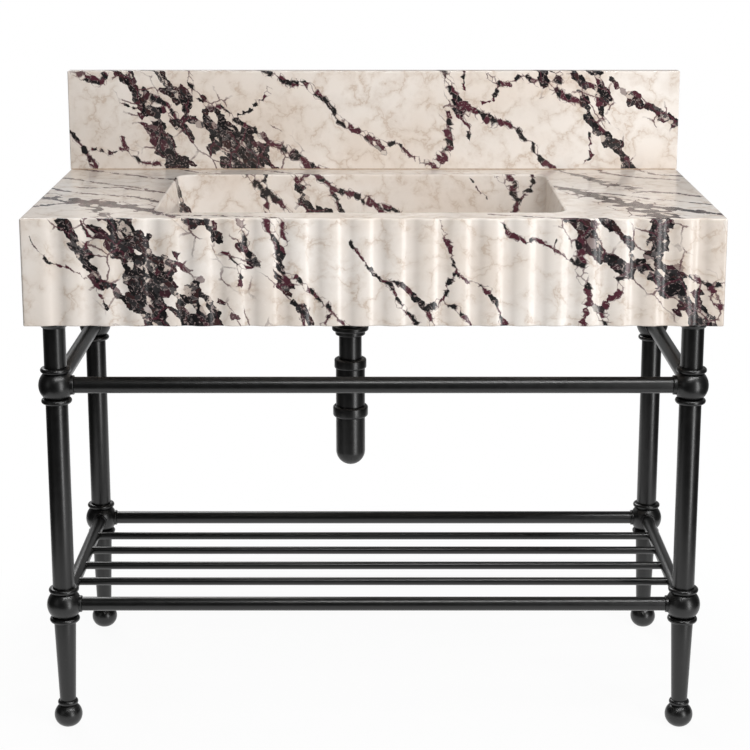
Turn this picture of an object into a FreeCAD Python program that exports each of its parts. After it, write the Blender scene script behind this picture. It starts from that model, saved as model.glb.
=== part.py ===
import FreeCAD, Part
import os
from types import SimpleNamespace

import Sketcher

# Console sink: a fluted marble block with a carved basin, on a tubular stand with ball fittings.
# Lengths are millimetres. +X runs along the front to the right, +Y goes back to the wall, +Z is up.
# The origin lies on the floor under the middle of the sink.

# Driving dimensions, one line each, grouped by the piece that they belong to.
DIMENSIONS = {
    # Marble block and backsplash
    "overall_width": 1160,
    "overall_depth": 560,
    "deck_height": 914,
    "deck_thickness": 20,
    "apron_height": 181,
    "front_apron_thickness": 35,
    "side_apron_thickness": 20,
    "rear_apron_thickness": 20,
    "backsplash_height": 188,
    "backsplash_thickness": 20,
    "eased_edge": 3,
    "wall_hole_radius": 6,
    "wall_hole_inset": 130,
    "wall_hole_drop": 100,
    # Flutes along the front
    "flute_count": 21,
    "flute_pitch": 53,
    "flute_land": 20.5,
    "flute_depth": 5,
    "flute_shift": 8,
    # Basin, between the ledges that are left around it
    "left_ledge": 215,
    "right_ledge": 259,
    "front_ledge": 62,
    "rear_ledge": 66,
    "basin_corner": 30,
    "basin_hollow": 140,
    "bowl_wall": 20,
    "bowl_floor": 25,
    "floor_fillet": 20,
    "floor_fall": 5,
    "dish_margin": 16,
    # Blocks and studs that hold the legs to the marble
    "corner_block_side": 78,
    "corner_block_height": 60,
    "leg_stud_radius": 5,
    "leg_stud_in_block": 40,
    "leg_stud_in_post": 18,
    # Legs
    "leg_inset_side": 42,
    "leg_inset_front": 52.5,
    "post_radius": 19,
    "tube_wall": 2,
    "cap_radius": 24.5,
    "cap_foot_radius": 21,
    "cap_thickness": 12.5,
    "cap_flare": 5,
    "taper_end_radius": 14,
    # Ball fittings
    "upper_ball_drop": 114,
    "lower_ball_height": 225,
    "ball_radius": 30,
    "ring_radius": 21.5,
    "ring_offset": 27,
    "bead_radius": 4.5,
    "rail_reach": 31,
    "collar_lip": 2.5,
    "spigot_length": 20,
    # Rails and shelf
    "upper_rail_radius": 14,
    "lower_rail_radius": 12,
    "slat_count": 4,
    "slat_radius": 7,
    "slat_spacing": 80,
    "screw_radius": 2.5,
    "screw_length": 8,
    "screw_sink": 0.5,
    "screw_key_radius": 1.4,
    "screw_key_depth": 3,
    # Levelling feet
    "foot_base_radius": 13,
    "foot_neck_height": 38,
    "foot_collar_height": 9.5,
    "foot_bead_swell": 3.8,
    "foot_bulge_swell": 10.9,
    "foot_stud_radius": 6,
    "foot_stud_length": 40,
    "foot_bore_spare": 3,
    # Waste in the basin floor
    "drain_shift": -20,
    "waste_flange_radius": 35,
    "waste_flange_thickness": 4,
    "waste_tail_radius": 22.5,
    "waste_wall": 1.9,
    "waste_tail_length": 105.5,
    "drain_hole_gap": 1,
    "guide_bar_width": 6,
    "guide_bar_depth": 8,
    "guide_bar_drop": 30,
    "guide_boss_radius": 8,
    "plug_radius": 31,
    "plug_edge": 2.5,
    "plug_dome": 3,
    "plug_stem_radius": 4,
    "plug_stem_length": 48,
    "waste_seal_thickness": 3,
    "back_nut_radius": 32,
    "back_nut_height": 10,
    # Tailpiece and its coupling nut
    "tailpiece_run": 66,
    "tail_nut_radius": 33,
    "tail_nut_neck_radius": 27,
    "tail_nut_height": 17,
    "tail_nut_neck_height": 8,
    "nut_lip": 4,
    "tailpiece_wall": 1.6,
    "tailpiece_lap": 15,
    "dip_radius": 14,
    "dip_length": 144,
    # Bottle trap
    "trap_body_radius": 26.3,
    "trap_body_height": 81.5,
    "trap_body_wall": 3,
    "trap_roof": 6,
    "trap_thread_radius": 28.4,
    "trap_thread_height": 11.5,
    "trap_neck_radius": 24,
    "trap_neck_height": 12,
    "top_nut_radius": 29,
    "top_nut_height": 18,
    "trap_seal_thickness": 2,
    "cup_radius": 26.4,
    "cup_wall": 2.4,
    "cup_length": 98,
    "cup_flange_height": 3,
    "cup_flange_gap": 0.2,
    "union_radius": 31.8,
    "union_height": 20.5,
    # Outlet to the wall
    "outlet_drop": 35.5,
    "outlet_radius": 16,
    "outlet_wall": 1.5,
    "outlet_swage": 0.5,
    "outlet_boss_radius": 20,
    "outlet_boss_reach": 42,
    "outlet_socket": 14,
    "outlet_nut_radius": 23.5,
    "outlet_nut_length": 18,
    # Fits, and how far a cutter runs past what it cuts
    "fit_clearance": 0.1,
    "loose_clearance": 0.3,
    "overrun": 5,
}

# Leg places: side of the middle, front or rear, and the turn that points the rail spigots inwards.
LEGS = {
    "front_left": (-1, -1, 0),
    "front_right": (1, -1, 90),
    "rear_right": (1, 1, 180),
    "rear_left": (-1, 1, 270),
}

X_AXIS = FreeCAD.Vector(1, 0, 0)
Y_AXIS = FreeCAD.Vector(0, 1, 0)
Z_AXIS = FreeCAD.Vector(0, 0, 1)
UPRIGHT = FreeCAD.Rotation()
ALONG_X = FreeCAD.Rotation(Y_AXIS, 90)
ALONG_Y = FreeCAD.Rotation(Z_AXIS, 90) * ALONG_X
AGAINST_Y = FreeCAD.Rotation(X_AXIS, 90)
MIDDLE = (0, 0, 0)
EDGE_TOLERANCE_SHARE = 0.0001


class Size:
    """A size worked out from the sheet: its value now, and the formula that keeps it current."""

    def __init__(self, value, formula):
        self.value = value
        self.formula = formula

    def __add__(self, other):
        other = as_size(other)
        return Size(self.value + other.value, f"({self.formula} + {other.formula})")

    def __sub__(self, other):
        other = as_size(other)
        return Size(self.value - other.value, f"({self.formula} - {other.formula})")

    def __mul__(self, other):
        other = as_size(other)
        return Size(self.value * other.value, f"({self.formula} * {other.formula})")

    def __truediv__(self, other):
        other = as_size(other)
        return Size(self.value / other.value, f"({self.formula} / {other.formula})")

    def __neg__(self):
        return Size(-self.value, f"(-1 * {self.formula})")

    __radd__ = __add__
    __rmul__ = __mul__


def as_size(item):
    """Take a size as it is, and a plain number as a size that never changes."""
    if isinstance(item, Size):
        return item
    return Size(item, str(item))


doc = FreeCAD.newDocument("console_sink")
sheet = doc.addObject("Spreadsheet::Sheet", "dims")
for row, (alias, number) in enumerate(DIMENSIONS.items(), start=1):
    sheet.set(f"A{row}", alias)
    sheet.set(f"B{row}", str(number))
    sheet.setAlias(f"B{row}", alias)
doc.recompute()
dims = SimpleNamespace(**{alias: Size(number, f"dims.{alias}") for alias, number in DIMENSIONS.items()})
subparts = {}


def keep(label, item):
    """Name a finished sub-part and put it on the list that is written out."""
    item.Label = label
    subparts[label] = item
    return item


def bind(item, **sizes):
    """Tie an object's properties to sheet formulas."""
    for name, size in sizes.items():
        item.setExpression(name, as_size(size).formula)


def place(item, at, turn=UPRIGHT):
    """Turn an object and tie its position to sheet formulas."""
    item.Placement = FreeCAD.Placement(FreeCAD.Vector(), turn)
    for axis, distance in zip("xyz", at):
        item.setExpression(f"Placement.Base.{axis}", as_size(distance).formula)
    return item


def cylinder(name, radius, height, at=MIDDLE, turn=UPRIGHT):
    """Add a cylinder that starts at a point and runs along its turned axis."""
    item = doc.addObject("Part::Cylinder", name)
    bind(item, Radius=radius, Height=height)
    return place(item, at, turn)


def box(name, length, width, height, at):
    """Add a box by its three sides and its lowest corner."""
    item = doc.addObject("Part::Box", name)
    bind(item, Length=length, Width=width, Height=height)
    return place(item, at)


def sphere(name, radius, at=MIDDLE):
    """Add a sphere about a point."""
    item = doc.addObject("Part::Sphere", name)
    bind(item, Radius=radius)
    return place(item, at)


def bead(name, radius, height):
    """Add the round bead of a fitting, a ring about the vertical axis at a height."""
    item = doc.addObject("Part::Torus", name)
    bind(item, Radius1=radius, Radius2=dims.bead_radius)
    return place(item, (0, 0, height))


def joined(name, pieces):
    """Fuse pieces into one solid."""
    item = doc.addObject("Part::MultiFuse", name)
    item.Shapes = pieces
    return item


def grouped(name, pieces):
    """Keep pieces as separate solids in one sub-part."""
    item = doc.addObject("Part::Compound", name)
    item.Links = pieces
    return item


def drilled(name, base, cutters):
    """Cut one or more tools out of a base."""
    item = doc.addObject("Part::Cut", name)
    item.Base = base
    item.Tool = cutters[0] if len(cutters) == 1 else joined(f"{name}_cutters", cutters)
    return item


def new_body(label):
    """Start a body with its own origin planes."""
    return doc.addObject("PartDesign::Body", label)


def sketch_on(body, name, role, offset=0):
    """Start a sketch on one of the body's own planes, moved along that plane's normal."""
    sketch = body.newObject("Sketcher::SketchObject", name)
    plane = [feature for feature in body.Origin.OriginFeatures if feature.Role == role][0]
    sketch.AttachmentSupport = (plane, [""])
    sketch.MapMode = "FlatFace"
    sketch.setExpression("AttachmentOffset.Base.z", as_size(offset).formula)
    return sketch


def pin(sketch, shape, end, x, y):
    """Hold one point of a sketch at formulas measured from the sketch's origin.

    A sketch calls its horizontal axis, which starts at its origin, -1, and its vertical axis -2.
    """
    for kind, axis, distance in (("DistanceX", -2, as_size(x)), ("DistanceY", -1, as_size(y))):
        if distance.value == 0:
            sketch.addConstraint(Sketcher.Constraint("PointOnObject", shape, end, axis))
            continue
        rule = Sketcher.Constraint(kind, -1, 1, shape, end, distance.value)
        number = sketch.addConstraint(rule)
        sketch.setExpression(f"Constraints[{number}]", distance.formula)


def fix_radius(sketch, shape, radius):
    """Hold the radius of a circle or an arc at a formula."""
    number = sketch.addConstraint(Sketcher.Constraint("Radius", shape, radius.value))
    sketch.setExpression(f"Constraints[{number}]", radius.formula)


def circle(sketch, radius, x=0, y=0):
    """Draw a circle about a point."""
    centre = FreeCAD.Vector(as_size(x).value, as_size(y).value, 0)
    shape = sketch.addGeometry(Part.Circle(centre, Z_AXIS, radius.value), False)
    pin(sketch, shape, 3, x, y)
    fix_radius(sketch, shape, radius)


def outline(sketch, corners):
    """Draw a closed outline, anticlockwise, whose corners follow formulas.

    A corner is (x, y), or (x, y, radius) where an arc of that radius swells outwards to the next one.
    """
    points = [FreeCAD.Vector(as_size(corner[0]).value, as_size(corner[1]).value, 0) for corner in corners]
    count = len(corners)
    for number, corner in enumerate(corners):
        start = points[number]
        end = points[(number + 1) % count]
        if len(corner) == 2:
            sketch.addGeometry(Part.LineSegment(start, end), False)
            continue
        chord = end - start
        half = chord.Length / 2
        radius = corner[2].value
        outwards = FreeCAD.Vector(chord.y, -chord.x, 0).normalize()
        swell = radius - max(radius * radius - half * half, 0) ** 0.5
        middle = (start + end) / 2 + outwards * swell
        sketch.addGeometry(Part.Arc(start, middle, end), False)
    for number, corner in enumerate(corners):
        rule = Sketcher.Constraint("Coincident", number, 2, (number + 1) % count, 1)
        sketch.addConstraint(rule)
        pin(sketch, number, 1, corner[0], corner[1])
        if len(corner) == 3:
            fix_radius(sketch, number, corner[2])


def rounded_rectangle(sketch, width, reach, radius, x=0, y=0):
    """Draw a rectangle with round corners about a point."""
    quarter = FreeCAD.Rotation(Z_AXIS, 90)
    signs = ((1, -1), (1, 1), (-1, 1), (-1, -1))
    centres = [(x + side * (width / 2 - radius), y + end * (reach / 2 - radius)) for side, end in signs]
    spots = [FreeCAD.Vector(across.value, along.value, 0) for across, along in centres]
    directions = [quarter.inverted().multVec(X_AXIS)]
    for _ in signs:
        directions.append(quarter.multVec(directions[-1]))
    for number, spot in enumerate(spots):
        middle = (directions[number] + directions[number + 1]).normalize()
        stops = [spot + direction * radius.value for direction in
                 (directions[number], middle, directions[number + 1])]
        sketch.addGeometry(Part.Arc(*stops), False)
    count = len(spots)
    for number in range(count):
        following = (number + 1) % count
        leave = spots[number] + directions[number + 1] * radius.value
        arrive = spots[following] + directions[number + 1] * radius.value
        line = sketch.addGeometry(Part.LineSegment(leave, arrive), False)
        sketch.addConstraint(Sketcher.Constraint("Tangent", number, 2, line, 1))
        sketch.addConstraint(Sketcher.Constraint("Tangent", line, 2, following, 1))
    for number, (across, along) in enumerate(centres):
        pin(sketch, number, 3, across, along)
        fix_radius(sketch, number, radius)


def pad(body, sketch, length, turned_back=False):
    """Raise a sketch by a length along its normal, or against it."""
    feature = body.newObject("PartDesign::Pad", f"{sketch.Name}_pad")
    feature.Profile = sketch
    feature.Reversed = turned_back
    bind(feature, Length=length)
    return feature


def pocket(body, sketch, turned_back=False):
    """Cut a sketch right through the body, against its normal, or along it when turned back."""
    feature = body.newObject("PartDesign::Pocket", f"{sketch.Name}_pocket")
    feature.Profile = sketch
    feature.Type = "ThroughAll"
    feature.Reversed = turned_back
    return feature


def spun(body, name, corners, kind="PartDesign::Revolution"):
    """Spin an outline of (radius, height) corners about the body's vertical axis."""
    sketch = sketch_on(body, f"{name}_outline", "XZ_Plane")
    outline(sketch, corners)
    feature = body.newObject(kind, f"{name}_spin")
    feature.Profile = sketch
    feature.ReferenceAxis = (sketch, ["V_Axis"])
    return feature


def turned(label, corners, at, turn=UPRIGHT):
    """Make a turned sub-part from its outline, and put it in its place."""
    body = new_body(label)
    spun(body, label, corners)
    place(body, at, turn)
    return keep(label, body)


def ring(label, inner, outer, height, at):
    """Make a plain ring or tube with its foot at a point."""
    return turned(label, [(inner, 0), (outer, 0), (outer, height), (inner, height)], at)


def round_edges(body, feature, radius, test):
    """Round the edges of a feature that a test picks out."""
    doc.recompute()
    chosen = [f"Edge{number}" for number, edge in enumerate(feature.Shape.Edges, start=1) if test(edge)]
    rounded = body.newObject("PartDesign::Fillet", f"{feature.Name}_round")
    rounded.Base = (feature, chosen)
    bind(rounded, Radius=radius)
    return rounded


# Places that several pieces share, worked out from the driving dimensions.
half_width = dims.overall_width / 2
half_depth = dims.overall_depth / 2
deck_underside = dims.deck_height - dims.deck_thickness
apron_underside = dims.deck_height - dims.apron_height
apron_panel = dims.apron_height - dims.deck_thickness
basin_width = dims.overall_width - dims.left_ledge - dims.right_ledge
basin_reach = dims.overall_depth - dims.front_ledge - dims.rear_ledge - dims.backsplash_thickness
basin_x = (dims.left_ledge - dims.right_ledge) / 2
basin_y = -half_depth + dims.front_ledge + basin_reach / 2
bowl_underside = dims.deck_height - dims.basin_hollow - dims.bowl_floor
drain = (basin_x + dims.drain_shift, basin_y)
waste_seat = bowl_underside + dims.bowl_floor - dims.floor_fall - dims.waste_flange_thickness
waste_end = waste_seat - dims.waste_tail_length
trap_top = waste_end - dims.tailpiece_run
upper_ball_height = apron_underside - dims.upper_ball_drop
leg_x = half_width - dims.leg_inset_side
leg_y = half_depth - dims.leg_inset_front
ball_seat = dims.ring_offset + dims.bead_radius
post_bore = dims.post_radius - dims.tube_wall
post_spigot = post_bore - dims.fit_clearance
foot_height = dims.foot_neck_height + dims.foot_collar_height
edge_tolerance = dims.overall_width.value * EDGE_TOLERANCE_SHARE


def arc_radius(half_chord_squared, swell):
    """Give the radius of an arc from half its chord, squared, and how far it swells from that chord."""
    return (half_chord_squared + swell * swell) / (2 * swell)


def leg_place(leg, height):
    """Give the place on a leg's axis at a height."""
    side, end, _ = LEGS[leg]
    return (side * leg_x, end * leg_y, height)


def flute_front(body):
    """Cut the row of flutes into the front edge of a body, with flat lands between them."""
    half_chord = (dims.flute_pitch - dims.flute_land) / 2
    radius = arc_radius(half_chord * half_chord, dims.flute_depth)
    span = dims.flute_pitch * (dims.flute_count - 1)
    sketch = sketch_on(body, f"{body.Label}_flute", "XY_Plane")
    circle(sketch, radius, dims.flute_shift - span / 2, -half_depth - radius + dims.flute_depth)
    flute = pocket(body, sketch, turned_back=True)
    row = body.newObject("PartDesign::LinearPattern", f"{body.Label}_flutes")
    row.Originals = [flute]
    row.Direction = (sketch, ["H_Axis"])
    bind(row, Length=span, Occurrences=dims.flute_count)
    body.Tip = row


def slab(label, width, reach, height, middle, at):
    """Start a rectangular slab whose outline is centred on a point of its own frame."""
    body = new_body(label)
    sketch = sketch_on(body, f"{label}_outline", "XY_Plane")
    x, y = middle
    left = x - width / 2
    right = x + width / 2
    front = y - reach / 2
    back = y + reach / 2
    outline(sketch, [(left, front), (right, front), (right, back), (left, back)])
    pad(body, sketch, height)
    place(body, at)
    return keep(label, body)


def make_deck():
    """Make the top slab with its basin cut-out, eased rim and fluted front edge."""
    deck = slab("deck_slab", dims.overall_width, dims.overall_depth, dims.deck_thickness,
                (as_size(0), as_size(0)), (0, 0, deck_underside))
    sketch = sketch_on(deck, "basin_opening", "XY_Plane")
    rounded_rectangle(sketch, basin_width, basin_reach, dims.basin_corner, basin_x, basin_y)
    opening = pocket(deck, sketch, turned_back=True)

    def is_rim(edge):
        inside = abs(edge.CenterOfMass.x) < half_width.value - edge_tolerance
        inside = inside and abs(edge.CenterOfMass.y) < half_depth.value - edge_tolerance
        return inside and edge.BoundBox.ZMin > dims.deck_thickness.value - edge_tolerance

    round_edges(deck, opening, dims.eased_edge, is_rim)
    flute_front(deck)


def make_aprons():
    """Make the fluted front panel, the plain side panels and the drilled rear panel."""
    front = slab("front_apron", dims.overall_width, dims.front_apron_thickness, apron_panel,
                 (as_size(0), dims.front_apron_thickness / 2 - half_depth), (0, 0, apron_underside))
    flute_front(front)
    side_reach = dims.overall_depth - dims.front_apron_thickness - dims.rear_apron_thickness
    side_middle = (dims.front_apron_thickness - dims.rear_apron_thickness) / 2
    for label, side in (("left_apron", -1), ("right_apron", 1)):
        x = side * (half_width - dims.side_apron_thickness / 2)
        slab(label, dims.side_apron_thickness, side_reach, apron_panel,
             (as_size(0), as_size(0)), (x, side_middle, apron_underside))
    rear = slab("rear_apron", dims.overall_width, dims.rear_apron_thickness, apron_panel,
                (as_size(0), dims.rear_apron_thickness / 2),
                (0, half_depth - dims.rear_apron_thickness, apron_underside))
    holes = sketch_on(rear, "wall_holes", "XZ_Plane")
    height = dims.apron_height - dims.wall_hole_drop
    for side in (-1, 1):
        circle(holes, dims.wall_hole_radius, side * (half_width - dims.wall_hole_inset), height)
    pocket(rear, holes)


def make_backsplash():
    """Make the upright slab along the back of the deck, with its front edges eased."""
    splash = slab("backsplash", dims.overall_width, dims.backsplash_thickness, dims.backsplash_height,
                  (as_size(0), dims.backsplash_thickness / 2),
                  (0, half_depth - dims.backsplash_thickness, dims.deck_height))

    def is_front_edge(edge):
        at_front = edge.BoundBox.YMax < edge_tolerance
        return at_front and edge.BoundBox.ZMax > edge_tolerance

    round_edges(splash, splash.Tip, dims.eased_edge, is_front_edge)


def make_bowl():
    """Make the carved bowl, whose own vertical axis is the drain, with its floor falling to the waste."""
    bowl = new_body("basin_bowl")
    x = -dims.drain_shift
    outer = sketch_on(bowl, "bowl_outside", "XY_Plane")
    rounded_rectangle(outer, basin_width + 2 * dims.bowl_wall, basin_reach + 2 * dims.bowl_wall,
                      dims.basin_corner + dims.bowl_wall, x, as_size(0))
    pad(bowl, outer, deck_underside - bowl_underside)
    inner = sketch_on(bowl, "bowl_inside", "XY_Plane", dims.bowl_floor)
    rounded_rectangle(inner, basin_width, basin_reach, dims.basin_corner, x, as_size(0))
    hollow = pocket(bowl, inner, turned_back=True)

    def is_floor_edge(edge):
        low = edge.BoundBox.ZMin - dims.bowl_floor.value
        high = edge.BoundBox.ZMax - dims.bowl_floor.value
        return abs(low) < edge_tolerance and abs(high) < edge_tolerance

    round_edges(bowl, hollow, dims.floor_fillet, is_floor_edge)
    hole = dims.waste_tail_radius + dims.drain_hole_gap
    recess = dims.waste_flange_radius + dims.drain_hole_gap
    rim = dims.bowl_floor - dims.floor_fall
    seat = rim - dims.waste_flange_thickness
    dish_radius = basin_reach / 2 - dims.floor_fillet - dims.dish_margin
    spun(bowl, "drain", [
        (0, -dims.overrun), (hole, -dims.overrun), (hole, seat), (recess, seat), (recess, rim),
        (dish_radius, dims.bowl_floor), (0, dims.bowl_floor),
    ], "PartDesign::Groove")
    place(bowl, (*drain, bowl_underside))
    keep("basin_bowl", bowl)


def make_corner_blocks():
    """Make the blocks inside the corners and the studs that hold the legs to them."""
    blocks = []
    studs = []
    inner_x = half_width - dims.side_apron_thickness
    for leg, (side, end, _) in LEGS.items():
        panel = dims.front_apron_thickness if end < 0 else dims.rear_apron_thickness
        inner_y = half_depth - panel
        low_x = inner_x - dims.corner_block_side if side > 0 else -inner_x
        low_y = inner_y - dims.corner_block_side if end > 0 else -inner_y
        block = box(f"{leg}_block", dims.corner_block_side, dims.corner_block_side,
                    dims.corner_block_height, (low_x, low_y, apron_underside))
        hole = cylinder(f"{leg}_stud_hole", dims.leg_stud_radius + dims.fit_clearance,
                        dims.leg_stud_in_block + dims.overrun,
                        leg_place(leg, apron_underside - dims.overrun))
        blocks.append(drilled(f"{leg}_drilled_block", block, [hole]))
        studs.append(cylinder(f"{leg}_stud", dims.leg_stud_radius,
                              dims.leg_stud_in_post + dims.leg_stud_in_block,
                              leg_place(leg, apron_underside - dims.leg_stud_in_post)))
    keep("corner_blocks", grouped("corner_block_group", blocks))
    keep("leg_studs", grouped("leg_stud_group", studs))


def crosses(level, end):
    """Tell whether a rail runs from left to right; high up at the rear the way to the wall stays free."""
    return level == "lower" or end < 0


def make_ball(level, leg, height, rail_radius):
    """Make a ball fitting with two beads, post spigots up and down, and a spigot for each rail."""
    label = f"{leg}_{level}_ball"
    _, end, turn = LEGS[leg]
    cross, along = ("y", "x") if turn % 180 else ("x", "y")
    axes = (along, cross) if crosses(level, end) else (along,)
    collar = rail_radius + dims.collar_lip
    spigot = rail_radius - dims.tube_wall - dims.fit_clearance
    reach = dims.rail_reach + dims.spigot_length
    screw_place = dims.rail_reach + dims.spigot_length / 2
    screw_hole = dims.screw_radius + dims.fit_clearance
    screw_depth = dims.screw_sink + dims.screw_length + dims.fit_clearance
    tall = ball_seat + dims.spigot_length
    turns = {"x": ALONG_X, "y": ALONG_Y}
    screw_spots = {"x": (screw_place, 0, -rail_radius), "y": (0, screw_place, -rail_radius)}
    pieces = [
        sphere(f"{label}_sphere", dims.ball_radius),
        cylinder(f"{label}_core", dims.post_radius, 2 * ball_seat, (0, 0, -ball_seat)),
        bead(f"{label}_top_bead", dims.ring_radius, dims.ring_offset),
        bead(f"{label}_low_bead", dims.ring_radius, -dims.ring_offset),
        cylinder(f"{label}_post_spigot", post_spigot, 2 * tall, (0, 0, -tall)),
    ]
    holes = []
    for axis in axes:
        pieces.append(cylinder(f"{label}_collar_{axis}", collar, dims.rail_reach, turn=turns[axis]))
        pieces.append(cylinder(f"{label}_spigot_{axis}", spigot, reach, turn=turns[axis]))
        holes.append(cylinder(f"{label}_screw_hole_{axis}", screw_hole, screw_depth, screw_spots[axis]))
    fitting = drilled(f"{label}_fitting", joined(f"{label}_casting", pieces), holes)
    place(fitting, leg_place(leg, height), FreeCAD.Rotation(Z_AXIS, turn))
    keep(label, fitting)


def make_foot(leg):
    """Make a ball foot with its bead and the stud that screws into the leg."""
    top = foot_height + dims.foot_stud_length
    neck = dims.taper_end_radius
    widening = neck - dims.foot_base_radius
    half_height = dims.foot_neck_height / 2
    half_collar = dims.foot_collar_height / 2
    bulge = arc_radius(half_height * half_height + widening * widening / 4, dims.foot_bulge_swell)
    collar = arc_radius(half_collar * half_collar, dims.foot_bead_swell)
    turned(f"{leg}_foot", [
        (0, 0), (dims.foot_base_radius, 0, bulge), (neck, dims.foot_neck_height, collar),
        (neck, foot_height), (dims.foot_stud_radius, foot_height), (dims.foot_stud_radius, top), (0, top),
    ], leg_place(leg, 0))


def make_legs():
    """Make the posts, ball fittings, tapered ends and feet of the four legs."""
    post_foot = upper_ball_height + ball_seat
    post_length = apron_underside - post_foot
    cap_foot = post_length - dims.cap_thickness
    stud_hole = dims.leg_stud_radius + dims.fit_clearance
    middle_foot = dims.lower_ball_height + ball_seat
    middle_length = upper_ball_height - ball_seat - middle_foot
    taper_length = dims.lower_ball_height - ball_seat - foot_height
    socket_floor = taper_length - dims.spigot_length - dims.fit_clearance
    foot_bore = dims.foot_stud_radius + dims.fit_clearance
    bore_depth = dims.foot_stud_length + dims.foot_bore_spare
    for leg in LEGS:
        turned(f"{leg}_upper_post", [
            (post_bore, 0), (dims.post_radius, 0), (dims.post_radius, cap_foot),
            (dims.cap_foot_radius, cap_foot), (dims.cap_radius, cap_foot + dims.cap_flare),
            (dims.cap_radius, post_length), (stud_hole, post_length), (stud_hole, cap_foot),
            (post_bore, cap_foot),
        ], leg_place(leg, post_foot))
        make_ball("upper", leg, upper_ball_height, dims.upper_rail_radius)
        ring(f"{leg}_middle_post", post_bore, dims.post_radius, middle_length, leg_place(leg, middle_foot))
        make_ball("lower", leg, dims.lower_ball_height, dims.lower_rail_radius)
        turned(f"{leg}_tapered_leg", [
            (foot_bore, 0), (dims.taper_end_radius, 0), (dims.post_radius, taper_length),
            (post_bore, taper_length), (post_bore, socket_floor), (0, socket_floor), (0, bore_depth),
            (foot_bore, bore_depth),
        ], leg_place(leg, foot_height))
        make_foot(leg)


def slat_places():
    """Give each slat's place along the depth of the sink."""
    count = DIMENSIONS["slat_count"]
    return [(number - (dims.slat_count - 1) / 2) * dims.slat_spacing for number in map(as_size, range(count))]


def make_rail(label, radius, length, at, turn, slat_side=None):
    """Make a tube rail with a screw hole under each end and, on a shelf rail, holes for the slats."""
    tube = cylinder(f"{label}_bar", radius, length)
    cutters = [cylinder(f"{label}_bore", radius - dims.tube_wall, length + 2 * dims.overrun,
                        (0, 0, -dims.overrun))]
    for number, along in enumerate((dims.spigot_length / 2, length - dims.spigot_length / 2)):
        cutters.append(cylinder(f"{label}_screw_hole_{number}", dims.screw_radius + dims.fit_clearance,
                                radius + dims.overrun, (0, 0, along), ALONG_X))
    if slat_side is not None:
        for number, along in enumerate(slat_places()):
            cutters.append(cylinder(f"{label}_slat_hole_{number}", dims.slat_radius + dims.fit_clearance,
                                    radius + dims.overrun, (0, 0, along + length / 2), slat_side))
    place(keep(label, drilled(f"{label}_tube", tube, cutters)), at, turn)


def make_rails():
    """Make the rails between the ball fittings, high and low, and the slats of the shelf."""
    cross = 2 * (leg_x - dims.rail_reach)
    along = 2 * (leg_y - dims.rail_reach)
    levels = (("upper", upper_ball_height, dims.upper_rail_radius),
              ("lower", dims.lower_ball_height, dims.lower_rail_radius))
    for level, height, radius in levels:
        for name, end in (("front", -1), ("rear", 1)):
            if crosses(level, end):
                make_rail(f"{level}_{name}_rail", radius, cross,
                          (-leg_x + dims.rail_reach, end * leg_y, height), ALONG_X)
        for name, side, facing in (("left", -1, AGAINST_Y), ("right", 1, ALONG_Y)):
            make_rail(f"{level}_{name}_rail", radius, along,
                      (side * leg_x, -leg_y + dims.rail_reach, height), ALONG_Y,
                      facing if level == "lower" else None)
    for number, depth in enumerate(slat_places(), start=1):
        slat = cylinder(f"slat_{number}", dims.slat_radius, 2 * leg_x,
                        (-leg_x, depth, dims.lower_ball_height), ALONG_X)
        keep(f"shelf_slat_{number}", slat)


def make_grub_screws():
    """Make the set screws that hold the rail ends on their spigots, one under each end."""
    screws = []
    reach = dims.rail_reach + dims.spigot_length / 2
    levels = (("upper", upper_ball_height, dims.upper_rail_radius),
              ("lower", dims.lower_ball_height, dims.lower_rail_radius))
    for side, end, _ in LEGS.values():
        for level, height, radius in levels:
            foot = height - radius + dims.screw_sink
            spots = [(side * leg_x, end * (leg_y - reach))]
            if crosses(level, end):
                spots.append((side * (leg_x - reach), end * leg_y))
            for x, y in spots:
                name = f"grub_{len(screws)}"
                shank = cylinder(f"{name}_shank", dims.screw_radius, dims.screw_length, (x, y, foot))
                key = doc.addObject("Part::Prism", f"{name}_key")
                bind(key, Circumradius=dims.screw_key_radius, Height=dims.screw_key_depth + dims.overrun)
                place(key, (x, y, foot - dims.overrun))
                screws.append(drilled(f"{name}_screw", shank, [key]))
    keep("grub_screws", grouped("grub_screw_group", screws))


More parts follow.
